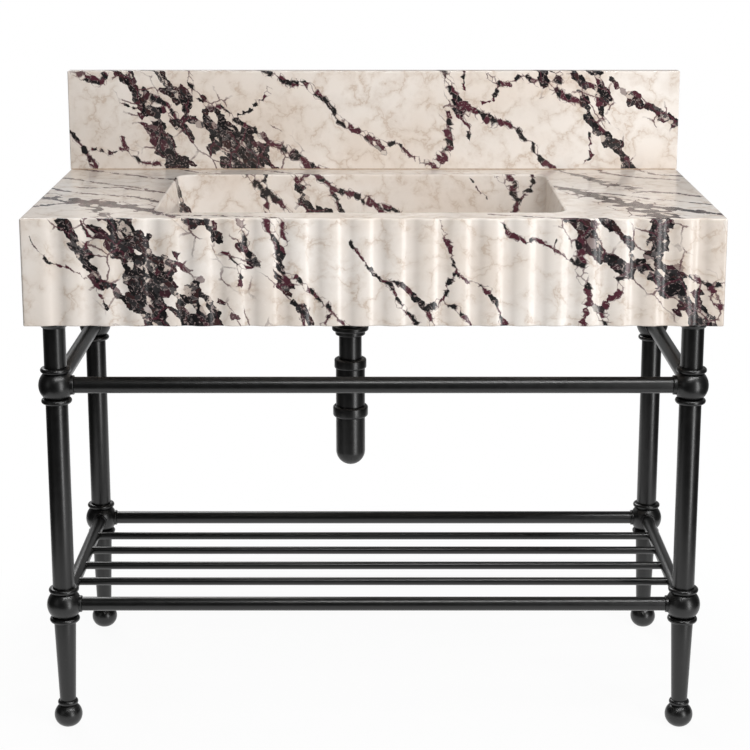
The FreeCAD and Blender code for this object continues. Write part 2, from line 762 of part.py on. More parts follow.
def make_waste():
    """Make the waste in the basin floor: its flanged body, plug, seal and back nut."""
    bore = dims.waste_tail_radius - dims.waste_wall
    low = -dims.waste_tail_length
    top = dims.waste_flange_thickness
    waste = turned("waste_body", [
        (bore, low), (dims.waste_tail_radius, low), (dims.waste_tail_radius, 0),
        (dims.waste_flange_radius, 0), (dims.waste_flange_radius, top), (bore, top),
    ], (*drain, waste_seat))
    half_bar = bore + dims.waste_wall / 2
    half_thick = dims.guide_bar_width / 2
    bar = sketch_on(waste, "guide_bar", "XY_Plane", -dims.guide_bar_drop)
    outline(bar, [(-half_bar, -half_thick), (half_bar, -half_thick), (half_bar, half_thick),
                  (-half_bar, half_thick)])
    pad(waste, bar, dims.guide_bar_depth)
    boss = sketch_on(waste, "guide_boss", "XY_Plane", -dims.guide_bar_drop)
    circle(boss, dims.guide_boss_radius)
    pad(waste, boss, dims.guide_bar_depth)
    guide = sketch_on(waste, "stem_guide", "XY_Plane", low - dims.overrun)
    circle(guide, dims.plug_stem_radius + dims.fit_clearance)
    pocket(waste, guide, turned_back=True)
    crown = arc_radius(dims.plug_radius * dims.plug_radius, dims.plug_dome)
    turned("drain_plug", [
        (0, -dims.plug_stem_length), (dims.plug_stem_radius, -dims.plug_stem_length),
        (dims.plug_stem_radius, 0), (dims.plug_radius, 0), (dims.plug_radius, dims.plug_edge, crown),
        (0, dims.plug_edge + dims.plug_dome),
    ], (*drain, waste_seat + top))
    hole = dims.waste_tail_radius + dims.fit_clearance
    seal_foot = bowl_underside - dims.waste_seal_thickness
    ring("waste_seal", hole, dims.back_nut_radius, dims.waste_seal_thickness, (*drain, seal_foot))
    ring("back_nut", hole, dims.back_nut_radius, dims.back_nut_height,
         (*drain, seal_foot - dims.back_nut_height))


def make_tailpiece():
    """Make the tube from the waste into the trap, with its dip tube, and its two nuts."""
    hole = dims.waste_tail_radius - dims.waste_wall
    radius = hole - dims.fit_clearance
    dip_foot = trap_top + dims.fit_clearance - dims.dip_length
    top = waste_end + dims.tailpiece_lap - dip_foot
    dip_bore = dims.dip_radius - dims.tailpiece_wall
    floor = dims.dip_length + dims.tailpiece_wall
    turned("tailpiece", [
        (dip_bore, 0), (dims.dip_radius, 0), (dims.dip_radius, dims.dip_length), (radius, dims.dip_length),
        (radius, top), (radius - dims.tailpiece_wall, top), (radius - dims.tailpiece_wall, floor),
        (dip_bore, floor),
    ], (*drain, dip_foot))
    thread = dims.waste_tail_radius + dims.fit_clearance
    turned("tail_nut", [
        (hole, 0), (dims.tail_nut_neck_radius, 0), (dims.tail_nut_neck_radius, dims.tail_nut_neck_height),
        (dims.tail_nut_radius, dims.tail_nut_neck_height), (dims.tail_nut_radius, dims.tail_nut_height),
        (thread, dims.tail_nut_height), (thread, dims.nut_lip), (hole, dims.nut_lip),
    ], (*drain, waste_end - dims.nut_lip - dims.fit_clearance))
    neck = dims.trap_neck_radius + dims.fit_clearance
    lip = dims.top_nut_height - dims.nut_lip
    turned("trap_top_nut", [
        (neck, 0), (dims.top_nut_radius, 0), (dims.top_nut_radius, dims.top_nut_height),
        (hole, dims.top_nut_height), (hole, lip), (neck, lip),
    ], (*drain, trap_top))


def make_trap():
    """Make the bottle trap: body with outlet, seal, cup and union nut."""
    foot = trap_top - dims.trap_body_height
    tail_hole = dims.waste_tail_radius - dims.waste_wall
    neck_top = dims.trap_body_height + dims.trap_neck_height
    outlet = dims.trap_body_height - dims.outlet_drop
    cavity = dims.trap_body_radius - dims.trap_body_wall
    body = new_body("trap_body")
    spun(body, "trap_outside", [
        (0, 0), (dims.trap_thread_radius, 0), (dims.trap_thread_radius, dims.trap_thread_height),
        (dims.trap_body_radius, dims.trap_thread_height), (dims.trap_body_radius, dims.trap_body_height),
        (dims.trap_neck_radius, dims.trap_body_height), (dims.trap_neck_radius, neck_top), (0, neck_top),
    ])
    boss = sketch_on(body, "outlet_boss", "XZ_Plane")
    circle(boss, dims.outlet_boss_radius, 0, outlet)
    pad(body, boss, dims.outlet_boss_reach, turned_back=True)
    roof = dims.trap_body_height - dims.trap_roof
    dip_hole = dims.dip_radius + dims.fit_clearance
    spun(body, "trap_inside", [
        (0, -dims.overrun), (cavity, -dims.overrun), (cavity, roof), (dip_hole, roof),
        (dip_hole, dims.trap_body_height), (tail_hole, dims.trap_body_height),
        (tail_hole, neck_top + dims.overrun), (0, neck_top + dims.overrun),
    ], "PartDesign::Groove")
    way = sketch_on(body, "outlet_way", "XZ_Plane")
    circle(way, dims.outlet_radius - dims.outlet_wall - dims.outlet_swage, 0, outlet)
    pocket(body, way)
    socket_start = dims.outlet_boss_reach - dims.outlet_socket
    socket = sketch_on(body, "outlet_socket", "XZ_Plane", -socket_start)
    circle(socket, dims.outlet_radius - dims.outlet_swage + dims.fit_clearance, 0, outlet)
    pocket(body, socket)
    place(body, (*drain, foot))
    keep("trap_body", body)
    flange_radius = dims.trap_thread_radius - dims.cup_flange_gap
    seal_foot = foot - dims.trap_seal_thickness
    ring("trap_seal", cavity, flange_radius, dims.trap_seal_thickness, (*drain, seal_foot))
    make_cup(seal_foot, flange_radius)
    union_bore = dims.trap_thread_radius + dims.fit_clearance
    cup_hole = dims.cup_radius + dims.loose_clearance
    turned("trap_union_nut", [
        (cup_hole, 0), (dims.union_radius, 0), (dims.union_radius, dims.union_height),
        (union_bore, dims.union_height), (union_bore, dims.nut_lip), (cup_hole, dims.nut_lip),
    ], (*drain, seal_foot - dims.cup_flange_height - dims.nut_lip))
    make_outlet(foot + outlet, socket_start)


def make_cup(top, flange_radius):
    """Make the trap's cup with its round bottom and its flange."""
    centre = top - dims.cup_length + dims.cup_radius
    bore = dims.cup_radius - dims.cup_wall
    side = top - centre
    shell = joined("cup_outside", [
        sphere("cup_bottom", dims.cup_radius, (*drain, centre)),
        cylinder("cup_side", dims.cup_radius, side, (*drain, centre)),
        cylinder("cup_flange", flange_radius, dims.cup_flange_height,
                 (*drain, top - dims.cup_flange_height)),
    ])
    hollow = [
        sphere("cup_hollow_bottom", bore, (*drain, centre)),
        cylinder("cup_hollow_side", bore, side + dims.overrun, (*drain, centre)),
    ]
    keep("trap_cup", drilled("cup_shell", shell, hollow))


def make_outlet(height, socket_start):
    """Make the tube back to the wall, swaged where it enters the trap, and the nut that holds it there."""
    x, y = drain
    start = y + socket_start + dims.fit_clearance
    lip = dims.outlet_nut_length - dims.nut_lip
    nut_start = y + dims.outlet_boss_reach + dims.fit_clearance - lip
    swaged = dims.outlet_radius - dims.outlet_swage
    bore = dims.outlet_radius - dims.outlet_wall
    length = half_depth - start
    shoulder = nut_start + dims.outlet_nut_length + dims.fit_clearance - start
    turned("outlet_tube", [
        (bore, 0), (swaged, 0), (swaged, shoulder), (dims.outlet_radius, shoulder),
        (dims.outlet_radius, length), (bore, length),
    ], (x, start, height), ALONG_Y)
    thread = dims.outlet_boss_radius + dims.fit_clearance
    hole = swaged + dims.fit_clearance
    turned("outlet_nut", [
        (thread, 0), (dims.outlet_nut_radius, 0), (dims.outlet_nut_radius, dims.outlet_nut_length),
        (hole, dims.outlet_nut_length), (hole, lip), (thread, lip),
    ], (x, nut_start, height), ALONG_Y)


def check():
    """Stop if any object failed, any cut missed its body or any sub-part has a bad shape."""
    for item in doc.Objects:
        if "Invalid" in item.State or "Error" in item.State:
            raise RuntimeError(f"{item.Label} failed: {item.State}")
        if item.TypeId in ("PartDesign::Pocket", "PartDesign::Groove"):
            if item.Shape.Volume >= item.BaseFeature.Shape.Volume:
                raise RuntimeError(f"{item.Label} cuts nothing")
    for label, item in subparts.items():
        if item.Shape.isNull() or not item.Shape.isValid() or not item.Shape.Solids:
            raise RuntimeError(f"{label} has no valid solid")


def write():
    """Write every sub-part to its own file."""
    os.makedirs("parts", exist_ok=True)
    for label, item in subparts.items():
        item.Shape.exportStep(f"parts/{label}.step")
        print(f"{label}: {len(item.Shape.Solids)} solid(s), {item.Shape.Volume:.0f} mm3")


make_deck()
make_aprons()
make_backsplash()
make_bowl()
make_corner_blocks()
make_legs()
make_rails()
make_grub_screws()
make_waste()
make_tailpiece()
make_trap()
doc.recompute()
check()
write()
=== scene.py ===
"""Dresses a console sink: a fluted block of veined marble on a black tubular stand with a bottle trap.

Lengths are metres in the frame's own axes: +X right along the front, +Y back to the wall, +Z up.
The veins alone are listed in millimetres, on the plane of the slab that shows them.
"""

import logging
import math
from collections.abc import Sequence
from dataclasses import dataclass
from enum import Enum

import bmesh
import bpy
from mathutils import Matrix, Vector


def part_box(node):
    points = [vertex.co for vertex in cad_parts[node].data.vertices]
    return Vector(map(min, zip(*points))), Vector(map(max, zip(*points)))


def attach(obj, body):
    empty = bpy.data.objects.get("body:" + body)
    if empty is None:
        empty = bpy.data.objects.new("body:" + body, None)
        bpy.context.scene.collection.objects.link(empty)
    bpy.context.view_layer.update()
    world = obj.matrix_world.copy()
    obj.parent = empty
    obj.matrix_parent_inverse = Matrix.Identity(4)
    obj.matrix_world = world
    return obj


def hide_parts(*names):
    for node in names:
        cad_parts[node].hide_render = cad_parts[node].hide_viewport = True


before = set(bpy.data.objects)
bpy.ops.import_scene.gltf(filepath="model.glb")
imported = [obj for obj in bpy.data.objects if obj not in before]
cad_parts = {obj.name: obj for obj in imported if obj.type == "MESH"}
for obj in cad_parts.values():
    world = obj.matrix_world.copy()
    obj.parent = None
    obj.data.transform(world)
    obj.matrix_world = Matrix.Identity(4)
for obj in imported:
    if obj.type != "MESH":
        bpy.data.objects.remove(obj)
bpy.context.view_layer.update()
log = logging.getLogger("console_sink")

Point = tuple[float, float]
Triple = tuple[float, float, float]
Outline = list[Point]
Loop = list[bmesh.types.BMVert]
Draft = bmesh.types.BMesh
Mesh = bpy.types.Mesh
Material = bpy.types.Material
Node = bpy.types.Node
Socket = bpy.types.NodeSocket
Sockets = bpy.types.bpy_prop_collection
Tree = bpy.types.NodeTree

ALONG_X = Matrix.Rotation(math.radians(90), 4, "Y")
ALONG_Y = Matrix.Rotation(math.radians(-90), 4, "X")
CORNERS = {"front_left": (-1, -1), "front_right": (1, -1), "rear_right": (1, 1), "rear_left": (-1, 1)}
CONSOLE = "console"
NUMBER = "NodeSocketFloat"
VECTOR = "NodeSocketVector"
GEOMETRY = "NodeSocketGeometry"
FINISH = "NodeSocketMaterial"
MILLIMETRE = 0.001
# Nearness of a point to a vein before any vein is measured
FAR = -9.0
# Ends of the noise that gloss follows
GLOSS_FADE = (0.3, 0.7)
# Angle in degrees from which an edge stays sharp
CREASE = 32.0
# Radius below which a point lies on the axis
ON_AXIS = 1e-7
# Name of the points' inset behind a fluted front, its value off the front, and the least mean of a
# face whose points are all on the front
FLUTE_INSET = "flute_inset"
OFF_FRONT = -1.0
ALL_ON_FRONT = -0.0005


class Slot(Enum):
    """Finishes that the record names."""

    MARBLE = "marble"
    BLACK_METAL = "black_metal"
    STEEL = "steel"


class Kind(Enum):
    """Ways a vein shows in the stone."""

    BAND = "broken band of dark stone around pale pebbles"
    THREAD = "thin wine-red line"


class Noise(Enum):
    """Noises of the finishes: clouds in a metre, finer layers and the strength of those layers."""

    CLOUDS = (4.5, 5.0, 0.55)
    STAINS = (9.0, 5.0, 0.6)
    NET = (12.0, 2.0, 0.5)
    PATCHES = (14.0, 2.0, 0.5)
    SWAY = (16.0, 4.0, 0.65)
    MIST = (20.0, 4.0, 0.6)
    BREAKS = (24.0, 2.0, 0.5)
    PAPER = (30.0, 3.0, 0.5)
    GRAINS = (110.0, 4.0, 0.6)
    # Pale flecks of the dark stone, partly painted glints.
    FLECKS_AND_GLINTS = (230.0, 1.0, 0.5)


class Fade(Enum):
    """Ramps of the stone: where a number starts and ends, and the results there if not 0 and 1."""

    CLOUDS = (0.36, 0.62)
    HALO = (-1.5, 0.2, 0.0, 0.45)
    HALO_MIST = (0.35, 0.65)
    STAINS = (0.46, 0.70, 0.0, 0.34)
    CLOUD_EDGE = (0.30, 0.0, 0.0, 0.45)
    CLOUD_EDGE_MIST = (0.30, 0.60)
    HAIRLINE = (0.06, 0.0, 0.0, 0.40)
    HAIRLINE_MIST = (0.40, 0.60)
    BAND_DEPTH = (-0.4, 0.7, 0.0, 0.30)
    BAND_PATCHES = (0.33, 0.64, 0.65, 1.5)
    BAND_EDGE = (-0.005, 0.005)
    BAND_END = (-0.45, -0.35)
    BAND_RIM = (0.06, 0.0, 0.0, 0.8)
    MOTTLE = (0.25, 0.75, -0.2, 0.2)
    SEAM = (0.08, 0.01, 0.0, 0.6)
    SEAM_GRAINS = (0.47, 0.60)
    # Pale flecks of the dark stone, partly painted glints.
    FLECKS_AND_GLINTS = (0.62, 0.68, 0.0, 0.7)
    NET = (0.05, 0.02, 0.0, 0.85)
    NET_BAND = (-1.5, -0.6)
    NET_PLACES = (0.46, 0.54)
    THREAD = (0.1, 0.4)
    THREAD_BREAKS = (0.34, 0.36)
    THREAD_GAPS = (0.80, 0.78)
    THREAD_SHADE = (0.4, 0.45)
    LACE = (0.16, 0.04, 0.0, 0.7)
    LACE_REACH = (-0.25, 0.05)


@dataclass(frozen=True)
class Box:
    """Bounds of a CAD node.

    Attributes:
        low: Its lowest corner.
        high: Its highest corner.
    """

    low: Vector
    high: Vector

    @classmethod
    def of(cls, node: str) -> "Box":
        """Measure a node."""
        return cls(*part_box(node))

    @property
    def middle(self) -> Vector:
        """Middle of the box."""
        return (self.low + self.high) / 2

    @property
    def half(self) -> Vector:
        """Half the box's size."""
        return (self.high - self.low) / 2


# Wiring of node trees


@dataclass
class Wiring:
    """Adds nodes to a tree and joins their sockets.

    Attributes:
        tree: Shader or geometry tree that is filled.
    """

    tree: Tree

    def node(self, kind: str, feeds: dict | None = None, **settings: object) -> Node:
        """Add a node.

        Args:
            kind: Type name of the node.
            feeds: Sockets or plain values for its inputs, by name or number.
            settings: Properties to set on it.

        Returns:
            The new node.
        """
        node = self.tree.nodes.new(kind)
        for name, value in settings.items():
            setattr(node, name, value)
        for key, value in (feeds or {}).items():
            self.feed(node.inputs[key], value)
        return node

    def feed(self, socket: Socket, value: object) -> None:
        """Link an input to an output, or set its value.

        Args:
            socket: Input that is fed.
            value: Output socket, or a plain value.
        """
        if isinstance(value, Socket):
            self.tree.links.new(value, socket)
        else:
            socket.default_value = value

    def math(self, operation: str, *values: object) -> Socket:
        """Work out a number.

        Args:
            operation: Name of the sum, such as MULTIPLY.
            values: Numbers or sockets, in order.

        Returns:
            Socket with the result.
        """
        return self.node("ShaderNodeMath", dict(enumerate(values)), operation=operation).outputs[0]

    def either(self, test: Socket, yes: object, no: object) -> Socket:
        """Choose between two numbers.

        Args:
            test: 1 for the first number, 0 for the second.
            yes: First number.
            no: Second number.

        Returns:
            Socket with the choice.
        """
        chosen = self.math("MULTIPLY", yes, test)
        return self.math("ADD", chosen, self.math("MULTIPLY", no, self.math("SUBTRACT", 1.0, test)))

    def vector(self, operation: str, *values: object) -> Socket:
        """Work out a vector, or a number from vectors.

        Args:
            operation: Name of the sum, such as DOT_PRODUCT.
            values: Vectors or sockets in order; for SCALE, a vector and a number.

        Returns:
            Socket with the result.
        """
        keys = (0, "Scale") if operation == "SCALE" else (0, 1)
        node = self.node("ShaderNodeVectorMath", dict(zip(keys, values)), operation=operation)
        return node.outputs["Value" if operation in ("DOT_PRODUCT", "LENGTH") else "Vector"]

    def ramp(self, value: object, low: object, high: object, first: float = 0.0, last: float = 1.0,
             smooth: bool = True) -> Socket:
        """Carry a number from one range to another, held at the ends.

        Args:
            value: Number to carry.
            low: Where the first range starts.
            high: Where the first range ends.
            first: Result at the start.
            last: Result at the end.
            smooth: Whether the change eases in and out.

        Returns:
            Socket with the result.
        """
        feeds = {"Value": value, "From Min": low, "From Max": high, "To Min": first, "To Max": last}
        kind = "SMOOTHSTEP" if smooth else "LINEAR"
        return self.node("ShaderNodeMapRange", feeds, interpolation_type=kind).outputs["Result"]

    def fade(self, value: object, fade: Fade) -> Socket:
        """Carry a number along one of the stone's ramps."""
        return self.ramp(value, *fade.value)

    def blend(self, share: object, first: Socket | Triple, second: Socket | Triple) -> Socket:
        """Mix two colours.

        Args:
            share: How much of the second colour shows.
            first: Colour or socket.
            second: Colour or socket.

        Returns:
            Socket with the mixed colour.
        """
        colours = [(*colour, 1) if isinstance(colour, tuple) else colour for colour in (first, second)]
        feeds = {"Factor": share, 6: colours[0], 7: colours[1]}
        return self.node("ShaderNodeMix", feeds, data_type="RGBA").outputs[2]

    def noise(self, place: Socket, look: Triple, output: str = "Fac") -> Socket:
        """Add cloudy noise.

        Args:
            place: Where the noise is read.
            look: Clouds in a metre, finer layers and the strength of those layers.
            output: Fac for a number, Color for three.

        Returns:
            Socket with the noise.
        """
        scale, layers, strength = look
        feeds = {"Vector": place, "Scale": scale, "Detail": layers, "Roughness": strength}
        return self.node("ShaderNodeTexNoise", feeds).outputs[output]

    def cells(self, place: Socket, feature: str) -> Node:
        """Add a flat pattern of cells, one to a unit.

        Args:
            place: Where the pattern is read.
            feature: F1 for the nearest cell, DISTANCE_TO_EDGE for the lines between cells.

        Returns:
            The node.
        """
        return self.node("ShaderNodeTexVoronoi", {"Vector": place, "Scale": 1.0}, feature=feature,
                         voronoi_dimensions="2D")

    def edges(self, place: Socket) -> Socket:
        """Measure the distance to the edge of a cell."""
        return self.cells(place, "DISTANCE_TO_EDGE").outputs["Distance"]

    def palette(self, value: Socket, stops: Sequence[tuple[float, Triple]]) -> Socket:
        """Pick a colour by a number.

        Args:
            value: The number.
            stops: Colours, each with the number from which it is used.

        Returns:
            Socket with the colour.
        """
        node = self.node("ShaderNodeValToRGB", {0: value})
        node.color_ramp.interpolation = "CONSTANT"
        elements = node.color_ramp.elements
        elements.remove(elements[1])
        for number, (start, colour) in enumerate(stops):
            element = elements[0] if number == 0 else elements.new(start)
            element.position = start
            element.color = (*colour, 1)
        return node.outputs["Color"]

    def plane(self, across: object, up: object, off: object = 0.0) -> Socket:
        """Join numbers to a vector.

        Args:
            across: First number.
            up: Second number.
            off: Third number.

        Returns:
            Socket with the vector.
        """
        return self.node("ShaderNodeCombineXYZ", {0: across, 1: up, 2: off}).outputs[0]

    def parts(self, value: Socket) -> Sockets:
        """Take a vector apart to X, Y and Z."""
        return self.node("ShaderNodeSeparateXYZ", {0: value}).outputs

    def group(self, tree: Tree, **values: object) -> Sockets:
        """Add a group node and feed its inputs.

        Args:
            tree: The group's tree.
            values: Inputs by name, with underscores for spaces.

        Returns:
            The group's outputs.
        """
        feeds = {name.replace("_", " "): value for name, value in values.items()}
        return self.node("ShaderNodeGroup", feeds, node_tree=tree).outputs

    def copies(self, points: Socket, item: Socket) -> Socket:
        """Put a copy of an item on each point of a geometry."""
        return self.node("GeometryNodeInstanceOnPoints", {"Points": points, "Instance": item}).outputs[0]

    def joined(self, *parts: Socket) -> Socket:
        """Join geometries.

        Args:
            parts: Sockets with the geometries.

        Returns:
            Socket with all of them.
        """
        node = self.node("GeometryNodeJoinGeometry")
        for part in parts:
            self.feed(node.inputs[0], part)
        return node.outputs[0]

    def end(self, geometry: Socket, material: Socket, result: Socket, selection: object = True) -> None:
        """End a geometry tree: instances made real and the material set.

        Args:
            geometry: What the tree has made.
            material: The finish.
            result: The tree's output.
            selection: Faces that get the finish.
        """
        real = self.node("GeometryNodeRealizeInstances", {"Geometry": geometry}).outputs[0]
        painted = self.node("GeometryNodeSetMaterial", {"Geometry": real, "Material": material,
                                                        "Selection": selection})
        self.feed(result, painted.outputs[0])


def new_tree(name: str, kind: str, inputs: dict[str, str],
             outputs: dict[str, str]) -> tuple[Wiring, Sockets, Sockets]:
    """Start a node group with named sockets.

    Args:
        name: Name of the tree.
        kind: ShaderNodeTree or GeometryNodeTree.
        inputs: Socket types by name.
        outputs: Socket types by name.

    Returns:
        The wiring, the group's given sockets and the sockets of its result.
    """
    tree = bpy.data.node_groups.new(name, kind)
    for way, sockets in (("INPUT", inputs), ("OUTPUT", outputs)):
        for label, socket in sockets.items():
            tree.interface.new_socket(label, in_out=way, socket_type=socket)
    wiring = Wiring(tree)
    return wiring, wiring.node("NodeGroupInput").outputs, wiring.node("NodeGroupOutput").inputs


def new_material(name: str) -> tuple[Material, Wiring, Node, Socket]:
    """Start a material.

    Args:
        name: Its name.

    Returns:
        The material, its wiring, its shader and the socket with the place on the object.
    """
    made = bpy.data.materials.new(name)
    made.use_nodes = True
    wiring = Wiring(made.node_tree)
    place = wiring.node("ShaderNodeTexCoord").outputs["Object"]
    return made, wiring, made.node_tree.nodes["Principled BSDF"], place


# Veins, drawn on each slab


@dataclass(frozen=True)
class Vein:
    """A vein drawn as a line of straight runs on a slab.

    Attributes:
        kind: How it shows.
        widths: Half its width at the start and at the end, in millimetres.
        points: Its line, in millimetres on the slab's plane.
    """

    kind: Kind
    widths: Point
    points: tuple[Point, ...]


def veins(kind: Kind, *rows: tuple) -> tuple[Vein, ...]:
    """Draw veins of one kind.

    Args:
        kind: How they show.
        rows: For each vein, half its width at the start and at the end, and then its points.

    Returns:
        The veins.
    """
    return tuple(Vein(kind, row[:2], row[2:]) for row in rows)


@dataclass(frozen=True)
class Grain:
    """The plane on which a slab's veins are drawn.

    Attributes:
        across: Direction in which the first number grows.
        up: Direction in which the second number grows.
        origin: Point from which both are counted.
    """

    across: Triple
    up: Triple
    origin: Triple = (0.0, 0.0, 0.0)


APRON_GRAIN = Grain((1, 0.7, 0), (0, 0.4, 1), (0, -0.28, 0))
BACKSPLASH_GRAIN = Grain((1, 0.7, 0), (0, 0.7, 1), (0, 0.26, 0))
DECK_GRAIN = Grain((1, 0, 0.7), (0, 1, 0.7), (0, 0, 0.914))
SIDE_GRAIN = Grain((0, 1, 0), (0, 0, 1))
BASIN_GRAIN = Grain((1, 0.35, 0), (0, 0.5, 1), (0, 0.194, 0))

APRON_VEINS = veins(
    Kind.BAND,
    (10, 9, (-513, 916), (-478, 865), (-450, 809), (-417, 794), (-396, 775), (-376, 754)),
    (30, 62, (-423, 916), (-359, 818), (-302, 731)),
    (9, 10, (-454, 904), (-421, 856), (-400, 809), (-388, 771), (-367, 736)),
    (9, 11, (-396, 912), (-384, 874), (-351, 848), (-318, 818), (-285, 779), (-244, 736)),
    (11, 7, (-300, 916), (-269, 895), (-236, 871), (-211, 865), (-187, 839), (-154, 814), (-133, 784),
     (-121, 762), (-90, 732)),
    (16, 8, (329, 913), (352, 886), (372, 861), (397, 844), (417, 829)),
    (9, 13, (384, 913), (417, 886), (434, 852), (448, 818)),
    (20, 30, (475, 914), (471, 869), (469, 831), (495, 796), (522, 771), (541, 733)),
) + veins(
    Kind.THREAD,
    (4, 3, (-472, 912), (-460, 886), (-474, 863)),
    (3, 2, (-454, 809), (-448, 779), (-439, 760)),
    (1.6, 1.6, (-577, 904), (-552, 861), (-536, 839), (-470, 818)),
    (7, 7, (-224, 916), (-209, 886), (-211, 867)),
    (8, 8, (-174, 916), (-158, 878), (-148, 861), (-152, 831), (-142, 809)),
    (5, 4, (-146, 916), (-141, 878), (-148, 859)),
    (5, 4, (-133, 822), (-105, 796), (-84, 777), (-63, 758), (-33, 731)),
    (4, 4, (-123, 769), (-115, 732)),
    (4, 4, (-63, 758), (-84, 732)),
    (5, 4, (-244, 861), (-224, 837), (-199, 831)),
    (4, 2.5, (-224, 837), (-218, 818), (-223, 794)),
    (2, 4, (-39, 878), (-10, 839), (2, 830)),
    (4, 5, (2, 826), (27, 805), (52, 801), (87, 762), (101, 733)),
    (4, 4, (27, 805), (43, 771), (74, 736)),
    (2, 3, (117, 910), (130, 839), (134, 822)),
    (3, 5, (134, 822), (158, 811), (179, 801), (200, 775), (216, 745), (222, 733)),
    (3, 3, (134, 822), (126, 805), (121, 775), (163, 734)),
    (4, 4, (87, 762), (115, 777)),
    (5, 3, (213, 911), (220, 901), (253, 874), (269, 880), (294, 863), (299, 877)),
    (3, 2, (294, 863), (341, 839)),
    (7, 7, (343, 874), (343, 839), (352, 805), (356, 775), (376, 762), (385, 733)),
    (5, 5, (352, 775), (345, 733)),
    (5, 5, (376, 762), (395, 781), (413, 796), (405, 814), (432, 822)),
    (5, 5, (522, 818), (557, 801), (578, 806)),
    (5, 4, (557, 801), (561, 777), (578, 762)),
)
BACKSPLASH_VEINS = veins(
    Kind.BAND,
    (13, 22, (-486, 1106), (-453, 1060), (-424, 1026), (-410, 981), (-389, 942), (-367, 910)),
    (10, 15, (-416, 1106), (-391, 1070), (-365, 1045), (-334, 1043)),
    (22, 44, (-374, 1055), (-339, 1021), (-286, 981), (-248, 952), (-224, 910)),
    (8, 13, (-391, 1004), (-362, 995), (-334, 977), (-305, 954), (-281, 927), (-262, 910)),
    (12, 8, (159, 1043), (163, 1018), (145, 1017)),
    (10, 9, (322, 1106), (328, 1077)),
    (8, 11, (375, 1106), (399, 1070), (395, 1043), (409, 1016), (428, 991), (452, 971), (471, 946),
     (479, 910)),
    (17, 14, (418, 1106), (425, 1070), (439, 1050)),
    (5, 12, (437, 1095), (451, 1080), (480, 1060), (499, 1043), (528, 1026), (566, 1001), (582, 992)),
) + veins(
    Kind.THREAD,
    (9, 9, (-418, 1048), (-389, 1026), (-377, 1001)),
    (4, 5, (-334, 1050), (-295, 1036), (-257, 1006), (-214, 977), (-185, 954)),
    (7, 9, (-185, 954), (-161, 943), (-133, 925), (-97, 910)),
    (6, 4, (-351, 1106), (-348, 1067)),
    (6, 8, (-214, 1102), (-185, 1089), (-152, 1077), (-128, 1077), (-99, 1055), (-75, 1031), (-61, 1006),
     (-32, 986), (-8, 972), (12, 952)),
    (4, 3, (-195, 1060), (-209, 1045), (-236, 1026), (-260, 1015)),
    (6, 6, (-566, 1102), (-544, 1085), (-520, 1077), (-515, 1094)),
    (6, 6, (-583, 989), (-561, 967), (-547, 937), (-528, 910)),
    (3, 5, (-540, 954), (-501, 945), (-475, 954), (-453, 945), (-443, 931), (-410, 926)),
    (4, 4, (-473, 979), (-467, 952)),
    (3, 3, (-480, 1040), (-452, 1033)),
    (6, 5, (-8, 981), (11, 954), (21, 941)),
    (5, 3, (4, 967), (39, 962), (11, 952)),
    (3, 4, (39, 962), (73, 937), (111, 920)),
    (7, 9, (133, 1106), (144, 1075), (159, 1045), (193, 1023), (227, 1005)),
    (6, 9, (145, 1018), (143, 981), (149, 959), (131, 940), (117, 910)),
    (5, 5, (227, 1005), (255, 1001), (279, 981), (303, 957), (322, 932), (347, 910)),
    (4, 2, (164, 1018), (183, 995), (183, 977)),
    (3, 2, (166, 1104), (169, 1070)),
    (5, 5, (214, 1094), (236, 1079), (257, 1077), (279, 1089)),
    (4, 2, (236, 1079), (235, 1061), (221, 1045), (200, 1039)),
    (6, 8, (277, 1090), (308, 1081), (329, 1079), (344, 1061), (375, 1048), (395, 1043)),
    (9, 7, (346, 1099), (348, 1082)),
    (6, 6, (471, 946), (503, 912)),
    (6, 5, (425, 1045), (435, 1021), (435, 991)),
    (3, 3, (399, 927), (413, 940), (411, 981)),
)
BASIN_VEINS = veins(
    Kind.BAND,
    (9, 15, (-139, 889), (-128, 863), (-111, 848), (-92, 833)),
    (10, 15, (-385, 901), (-328, 766), (-300, 612)),
    (10, 14, (-92, 833), (-60, 760), (-10, 690), (30, 600)),
) + veins(
    Kind.THREAD,
    (9, 5, (-246, 921), (-215, 892), (-191, 872), (-172, 858), (-151, 833)),
    (5, 5, (-214, 892), (-200, 863), (-201, 833)),
    (6, 5, (-205, 921), (-210, 892)),
    (6, 6, (-156, 921), (-137, 896), (-126, 913)),
    (6, 6, (-116, 921), (-88, 899), (-74, 882), (-45, 877), (-22, 870), (12, 852)),
    (5, 5, (-82, 882), (-69, 858), (-56, 833)),
    (6, 7, (-8, 870), (16, 848), (30, 831)),
    (5, 3, (25, 853), (70, 833)),
    (8, 6, (256, 918), (263, 887), (269, 858), (260, 833)),
    (5, 4, (269, 858), (289, 877), (297, 896), (294, 913)),
    (2, 2, (181, 906), (195, 887), (214, 868)),
    (3, 3, (228, 913), (253, 895)),
    (5, 4, (87, 785), (181, 670), (351, 612)),
    (6, 6, (-151, 833), (-110, 770), (-60, 700)),
)
